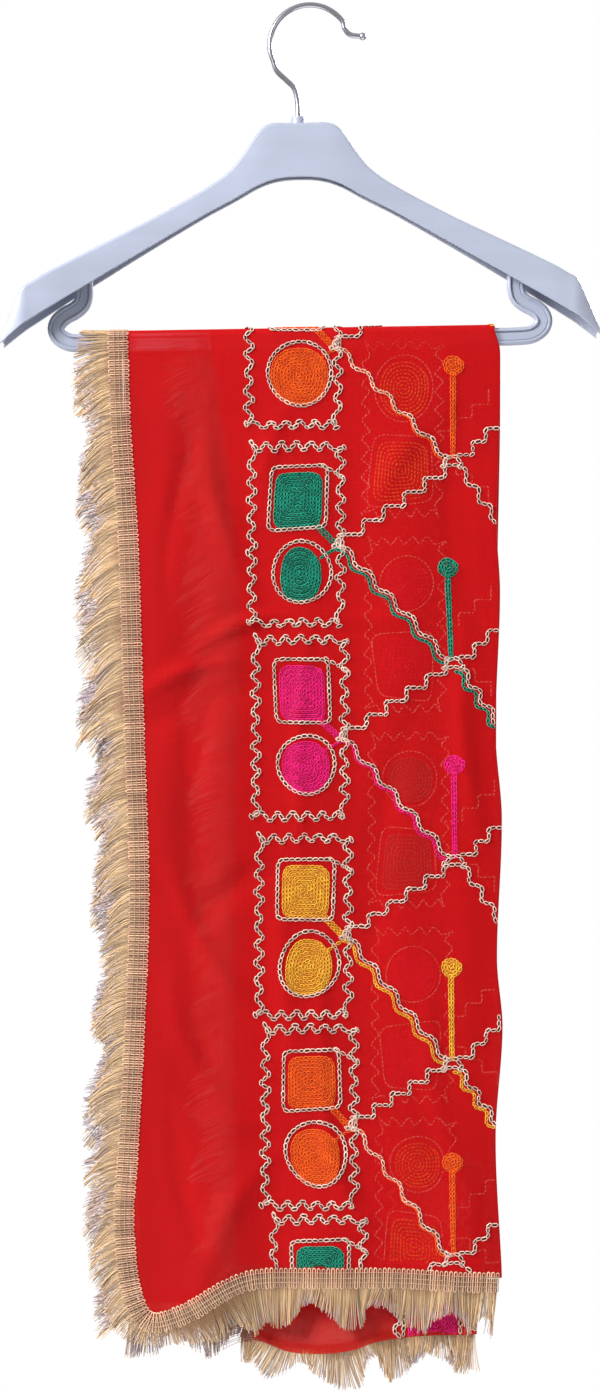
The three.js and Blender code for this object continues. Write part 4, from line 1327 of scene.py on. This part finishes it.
# ---- operators ----
class DUPATTA_OT_hook(bpy.types.Operator):
    """Bend the wire hook with its rounded tip"""

    bl_idname = "dupatta.hook"
    bl_label = "Hook"

    def execute(self, context):
        boss_top = PLATEAU_Z + BOSS["above"]
        centre = WIRE / 2 - CROOK_R
        points = [
            (STEM_X, boss_top - BOSS["socket"]), (STEM_X, boss_top - BOSS["socket"] / 2),
            (STEM_X, boss_top + 1), (STEM_X - 0.9, boss_top + 14), (STEM_X - 3.4, boss_top + 21.5),
            (STEM_X - 8.8, boss_top + 27), (STEM_X - 15.5, boss_top + 33.6),
        ]
        for degrees in range(205, 34, -17):
            a = math.radians(degrees)
            points.append((CROOK_R * math.cos(a), centre + CROOK_R * math.sin(a)))
        points += [(CROOK_R * 0.87, -15.8), (CROOK_R, -19.6), (CROOK_R + 5, -20.6)]
        path = spline(points + [(TIP["x"], TIP["z"])], 150)
        a = np.linspace(0, 2 * math.pi, 20, endpoint=False)
        wire = solid("wire", swept(path, np.stack([np.cos(a), np.sin(a)], -1) * WIRE / 2))
        # The tip swells into a round bead.
        disc = np.stack([np.zeros(20), np.sin(a), np.cos(a)], -1)
        bead = [
            disc * max(math.sin(t), 0.02) * TIP["radius"]
            + (TIP["x"] - TIP["radius"] * math.cos(t), 0, TIP["z"])
            for t in np.linspace(0.12, 1, 9) * math.pi
        ]
        tip = solid("tip", np.array(bead))
        look = wire_look(context.scene.dupatta_colours)
        piece("hook_wire", merged([wire, tip]), [look], ["hanger_hook"], 60)
        return {"FINISHED"}


class DUPATTA_OT_hanger(bpy.types.Operator):
    """Mould the hanger's shouldered body and its bar with the strap notches"""

    bl_idname = "dupatta.hanger"
    bl_label = "Moulded hanger"

    def execute(self, context):
        look = plastic_look(context.scene.dupatta_colours)
        self.body(look)
        self.bar(look)
        return {"FINISHED"}

    def body(self, look):
        top, edge, depth = (through([(r[0], r[k]) for r in ARM]) for k in (1, 2, 3))
        out = np.concatenate([-np.linspace(215, 0, 90), np.linspace(0, 215, 90)[1:]])
        rings = []
        for o in out:
            x = HANGER_X + o
            roof = PLATEAU_Z - float(top(abs(o))) + float(lean(x))
            foot = PLATEAU_Z - float(edge(abs(o))) + float(lean(x))
            half = float(depth(abs(o))) / 2
            tall = roof - foot
            r = min(3.0, tall * 0.3)
            ceiling = roof - min(3.0, tall * 0.4)
            a = np.radians([0, 18, 36, 54, 72, 90])
            wall = MOULDING
            left = [(-half + r - r * math.cos(t), roof - r + r * math.sin(t)) for t in a]
            right = [(-y, z) for y, z in left[::-1]]
            lip = min(0.5, tall * 0.1)
            outline = [(-half, foot + lip)] + left + right + [(half, foot + lip)]
            outline += [(half - lip, foot), (half - wall + lip, foot), (half - wall, foot + lip)]
            outline += [(half - wall, ceiling), (-half + wall, ceiling)]
            outline += [(-half + wall, foot + lip), (-half + wall - lip, foot), (-half + lip, foot)]
            rings.append([(x, y, z) for y, z in outline])
        meshes = [solid("channel", np.array(rings))]
        boss_top = PLATEAU_Z + BOSS["above"]
        profile = [
            (0.0, PLATEAU_Z - BOSS["below"]), (BOSS["radius"], PLATEAU_Z - BOSS["below"]),
            (BOSS["radius"], boss_top - 0.8), (BOSS["radius"] - 0.25, boss_top - 0.25),
            (BOSS["radius"] - 0.8, boss_top), (WIRE / 2 + SEAM + 0.5, boss_top),
            (WIRE / 2 + SEAM, boss_top - 0.5), (WIRE / 2 + SEAM, boss_top - BOSS["socket"]),
            (0.0, boss_top - BOSS["socket"]),
        ]
        a = np.linspace(0, 2 * math.pi, 40, endpoint=False)
        turned = np.array([
            [(STEM_X + r * math.cos(t), r * math.sin(t), z) for t in a] for r, z in profile
        ])
        meshes.append(solid("boss", turned, False))
        piece("moulded_body", merged(meshes), [look], ["hanger_body"], 35)

    def bar(self, look):
        half, deep, web, rim = BAR["high"] / 2, BAR["deep"] / 2, BAR["web"] / 2, BAR["rim"]
        a = np.radians([90, 70, 50, 30, 10, 0])
        quarter = [(half - rim + rim * math.sin(t), deep * math.cos(t)) for t in a]
        quarter = [(half, 0.0)] + quarter[1:]
        quarter += [(half - rim - 0.25, deep - 0.3), (half - rim - 0.5, web - 0.4)]
        quarter += [(half - rim - 1.1, web - 0.4), (half - rim - 1.5, web)]
        lower = [(-s, d) for s, d in quarter[::-1]]
        right = quarter + lower
        left = [(s, -d) for s, d in right[1:-1][::-1]]
        rows = [(-o, u) for o, u in NOTCH[:0:-1]] + list(NOTCH)
        points = [
            (HANGER_X + o, PLATEAU_Z - BAR["drop"] + u + float(lean(HANGER_X + o))) for o, u in rows
        ]
        mesh = solid("bar", swept(spline(points, 260), right + left))
        piece("strap_bar", mesh, [look], ["hanger_bar"], 35)


class DUPATTA_OT_cloth(bpy.types.Operator):
    """Drape the folded sheet of sheer cloth over the bar"""

    bl_idname = "dupatta.cloth"
    bl_label = "Cloth"

    def execute(self, context):
        sizes = context.scene.dupatta_sizes
        grid, uv = cloth_points(sizes)
        rows, columns = grid.shape[:2]
        mesh = mesh_of("cloth", grid.reshape(-1, 3), faces=grid_faces(rows, columns))
        layer = mesh.uv_layers.new(name="UVMap")
        flat = uv.reshape(-1, 2) * MM
        index = np.zeros(len(mesh.loops), int)
        mesh.loops.foreach_get("vertex_index", index)
        layer.data.foreach_set("uv", flat[index].ravel())
        piece("folded_cloth", mesh, [cloth_look(sizes)],
              ["cloth_front", "cloth_rear"], 0)
        return {"FINISHED"}


class DUPATTA_OT_trim(bpy.types.Operator):
    """Weave the heading along every edge and hang its cut fringe"""

    bl_idname = "dupatta.trim"
    bl_label = "Heading and fringe"

    def execute(self, context):
        self.sizes = context.scene.dupatta_sizes
        self.heading = heading_tree()
        self.fringe = fringe_tree()
        colours = context.scene.dupatta_colours
        inside = colours.fringe_in_red_shade
        self.outer_looks = (
            heading_look("gold_heading", colours.heading),
            fringe_look("gold_fringe", colours.fringe, colours.fringe_behind),
        )
        # The inner edge's heading and fringe are painted in the red shade between the layers.
        self.inner_looks = (
            heading_look("shaded_heading", inside), fringe_look("shaded_fringe", inside, inside),
        )
        side = through(SIDE_REACH)
        front_hem, rear_outer, rear_inner = (
            through(rows) for rows in (FRONT_HEM_REACH, REAR_OUTER_REACH, REAR_INNER_REACH)
        )

        def round_corner(layer):
            def reach(line):
                x, s = line.T
                hem = front.length(layer, x)
                low = smooth(hem - 16, hem - 4, s)
                return side(s) * (1 - low) + front_hem(x) * low
            return reach

        fold = float(front.edge("right", 1.0)) - 1.5
        edge = side_points("left", 1)
        start = edge[-1][0] + 5
        outer = rounded(edge + hem_points(front, 1, start, fold), 9)
        self.make("outer_edge", (1, outer, round_corner(1), SEAM, HEADING, 0.6), 0.75, -1,
                  ["trim_front_side", "trim_rear_side", "trim_front_hem"], 2)
        edge = side_points("inner", -1)
        start = edge[-1][0] + 5
        inner = rounded(edge + hem_points(front, -1, start, fold), 9)
        self.make("inner_edge", (-1, inner, round_corner(-1), SEAM, HEADING, 0.5), 0.45, -1,
                  ["trim_front_inner", "trim_rear_inner"], 1)
        fold = float(rear.edge("right", 1.0)) - 1.5
        for name, layer, reach, start in (
            ("rear_outer_hem", 1, rear_outer, float(rear.edge("left", 1.0)) - 12),
            ("rear_inner_hem", -1, rear_inner, float(rear.edge("inner", 1.0)) - 12),
        ):
            line = np.array(hem_points(rear, layer, start, fold, 2.0))
            edge = (layer, line, lambda l, r=reach: r(l[:, 0]), TURNED - HEADING, HEADING, -0.6)
            self.make(name, edge, 0.0, 1, ["trim_rear_hem"], 2)
        return {"FINISHED"}

    def make(self, name, edge, sag, flip, nodes, layers):
        s = self.sizes
        woven, cut = self.inner_looks if name == "inner_edge" else self.outer_looks
        path = trimmed_edge(*edge, sag, flip)
        line = path_mesh(name, [path["middle"]], across=[path["across"]], out=[path["out"]])
        mesh = grown(self.heading, line, {
            "Pitch": s.loop_pitch * MM, "Width": HEADING * MM, "Material": woven, "Seed": 3,
            "Warp": 0.0005 if name == "outer_edge" else 0.0002,
            "Lift": math.copysign(0.6, edge[5]) * MM,
            "Weft": 0.001 if name == "outer_edge" else 0.0004,
        })
        piece(name + "_heading", mesh, [], nodes, 0)
        meshes = []
        for k in range(layers):
            path = trimmed_edge(*edge, sag * (1.0 if k == 0 else 0.35), flip)
            root = path["root"] - path["out"] * (0.45 * k)
            ways = {key: [path[key]] for key in ("reach", "arch", "out", "beside")}
            line = path_mesh(name, [root], **ways)
            meshes.append(grown(self.fringe, line, {
                "Pitch": s.strand_pitch * MM * (1 if name != "inner_edge" else 2.6),
                "Strand": s.strand * MM * (1 if name != "inner_edge" else 0.6), "Points": 5,
                "Shade": float(k), "Seed": 11 + 20 * k, "Material": cut,
                "Puff": 0.0004 if name == "inner_edge" else 0.002,
            }))
        piece(name + "_fringe", merged(meshes), [], [], 0)


class DUPATTA_OT_embroidery(bpy.types.Operator):
    """Sew the chain stitch outlines and fillings"""

    bl_idname = "dupatta.embroidery"
    bl_label = "Embroidery"

    def execute(self, context):
        s = context.scene.dupatta_sizes
        colours = context.scene.dupatta_colours
        chain, dash, inner = chain_tree(), dash_tree(), inner_chart()
        for thread, lines in outer_chart().items():
            line = thread == "cream"
            look, shaded = self.looks(thread, Vector(getattr(colours, thread)))
            ply = s.stitch_thread if line else s.fill_thread
            wide = s.stitch_width if line else s.fill_width
            pitch = s.stitch_pitch if line else s.fill_pitch
            sewn = {
                "Pitch": pitch * MM, "Link length": pitch * LINK_OVERLAP * MM,
                "Link width": (wide - ply) * MM, "Thread": ply * MM,
                "Lift": (0.25 if line else 0.0) * MM, "Seed": 7, "Material": look,
            }
            runs, outs = sewn_runs(1, lines, 1)
            meshes = [grown(chain, path_mesh(thread, runs, out=outs), sewn)]
            meshes += shade_grounds(1, lines, SHADE_GROUND_LIFT, look)
            piece("outer_" + thread, merged(meshes), [], [], 0)
            lines = inner[thread]
            if not lines:
                continue
            runs, outs = sewn_runs(-1, lines, -1)
            meshes = [grown(dash, path_mesh(thread, runs, out=outs), {
                "Pitch": s.fill_pitch * MM, "Thread": 0.0009 if line else 0.0012, "Seed": 9,
                "Material": shaded,
            })]
            runs, outs = sewn_runs(-1, lines, 1, REAR_SHOWS)
            if runs:
                meshes.append(grown(chain, path_mesh(thread, runs, out=outs), sewn))
            if thread == "green":
                meshes += shade_grounds(-1, lines, -SHADE_GROUND_LIFT, shaded)
            piece("inner_" + thread, merged(meshes), [], [], 0)
        return {"FINISHED"}

    def looks(self, thread, colour):
        """Thread on the outside, and its flat backs inside, hidden by red cloth, in painted red
        light.
        """
        depth, red, backs = THREADS[thread]
        made = []
        for side, tone in (("_thread", colour), ("_backs", colour * Vector(backs))):
            # The bed is the thread's painted shade, with painted red light from the cloth added.
            shade_bed = rgba(tone * depth + Vector((red, 0, 0)))
            made.append(thread_look(thread + side, rgba(tone), shade_bed))
        return made


class DUPATTA_OT_stage(bpy.types.Operator):
    """Set the floor, the soft lights and the camera"""

    bl_idname = "dupatta.stage"
    bl_label = "Stage"

    def execute(self, context):
        scene = context.scene
        middle = Vector((HANGER_X, 0, -497.1)) * MM
        distance, tall = 1.9, 1.005
        lens = bpy.data.cameras.new("camera")
        lens.sensor_width = 36.0
        lens.lens = 36.0 * distance / tall
        camera = bpy.data.objects.new("camera", lens)
        camera.location = middle + Vector((0, -distance, 0))
        camera.rotation_euler = (math.radians(90), 0, 0)
        scene.collection.objects.link(camera)
        scene.camera = camera
        radius, level = 0.95, -1.4
        a = np.linspace(0, 2 * math.pi, 96, endpoint=False)
        rim = [(radius * math.cos(t) + middle.x, radius * math.sin(t), level) for t in a]
        floor = bpy.data.meshes.new("floor")
        floor.from_pydata(rim, [], [tuple(range(96))])
        plane = bpy.data.objects.new("floor", floor)
        scene.collection.objects.link(plane)
        look = Look("pale_floor", Roughness=0.9)
        look.shader.inputs["Base Color"].default_value = (0.95, 0.95, 0.95, 1)
        floor.materials.append(look.material)
        self.lights(scene, middle)
        self.world(scene)
        scene.view_settings.view_transform = "Standard"
        return {"FINISHED"}

    def lights(self, scene, middle):
        for name, place, size, power in (
            ("key", (-2.1, -1.5, 1.5), 0.9, 155),
            ("fill", (1.9, -1.9, 0.1), 1.6, 10),
            ("back_key", (2.1, 1.5, 1.5), 0.9, 145),
            ("back_fill", (-1.9, 1.9, 0.1), 1.6, 10),
        ):
            lamp = bpy.data.lights.new(name, "AREA")
            lamp.size = size
            lamp.energy = power
            obj = bpy.data.objects.new(name, lamp)
            obj.location = middle + Vector(place)
            obj.rotation_euler = (-Vector(place)).to_track_quat("-Z", "Y").to_euler()
            obj.visible_camera = False
            scene.collection.objects.link(obj)

    def world(self, scene):
        world = bpy.data.worlds.new("studio")
        world.use_nodes = True
        scene.world = world
        sky = Nodes(world.node_tree)
        shown = sky.tree.nodes["Background"]
        shown.inputs["Color"].default_value = (1, 1, 1, 1)
        up = sky.node("ShaderNodeTexCoord")["Generated"]
        up = sky.node("ShaderNodeSeparateXYZ", {0: up})["Z"]
        up = sky.node("ShaderNodeMapRange", {"Value": up, "From Min": -1.0})[0]
        ramp = sky.tree.nodes.new("ShaderNodeValToRGB")
        sky.put(up, ramp.inputs[0])
        ramp.color_ramp.elements[0].color = (0.85, 0.85, 0.87, 1)
        ramp.color_ramp.elements[1].color = (1.15, 1.15, 1.15, 1)
        ramp.color_ramp.elements.new(0.5).color = (0.5, 0.5, 0.52, 1)
        values = {"Color": ramp.outputs[0], "Strength": 0.52}
        soft = sky.node("ShaderNodeBackground", values)[0]
        path = sky.node("ShaderNodeLightPath")
        # What shows through the cloth is dimmer than the backdrop beside it.
        values = {"Value": path["Transparent Depth"], "To Min": 1.0, "To Max": 0.05}
        sky.put(sky.node("ShaderNodeMapRange", values)[0], shown.inputs["Strength"])
        values = {0: path["Is Camera Ray"], 1: soft, 2: shown.outputs[0]}
        mixed = sky.node("ShaderNodeMixShader", values)[0]
        sky.put(mixed, sky.tree.nodes["World Output"].inputs[0])


class DUPATTA_PT_panel(bpy.types.Panel):
    """Lists the dupatta's pieces and sizes"""

    bl_idname = "DUPATTA_PT_panel"
    bl_label = "Dupatta"
    bl_space_type = "VIEW_3D"
    bl_region_type = "UI"
    bl_category = "Dupatta"

    def draw(self, context):
        layout = self.layout
        for group in (context.scene.dupatta_sizes, context.scene.dupatta_colours):
            for key in group.__annotations__:
                layout.prop(group, key)
        for operator in OPERATORS:
            layout.operator(operator.bl_idname)


OPERATORS = (
    DUPATTA_OT_stage,
    DUPATTA_OT_hook,
    DUPATTA_OT_hanger,
    DUPATTA_OT_cloth,
    DUPATTA_OT_trim,
    DUPATTA_OT_embroidery,
)
CLASSES = (DupattaSizes, DupattaColours, *OPERATORS, DUPATTA_PT_panel)


def register():
    for item in CLASSES:
        bpy.utils.register_class(item)
    bpy.types.Scene.dupatta_sizes = bpy.props.PointerProperty(type=DupattaSizes)
    bpy.types.Scene.dupatta_colours = bpy.props.PointerProperty(type=DupattaColours)


def unregister():
    del bpy.types.Scene.dupatta_colours
    del bpy.types.Scene.dupatta_sizes
    for item in reversed(CLASSES):
        bpy.utils.unregister_class(item)


def main():
    register()
    for operator in OPERATORS:
        group, name = operator.bl_idname.split(".")
        getattr(getattr(bpy.ops, group), name)()
    bpy.context.view_layer.update()


if __name__ == "__main__":
    main()
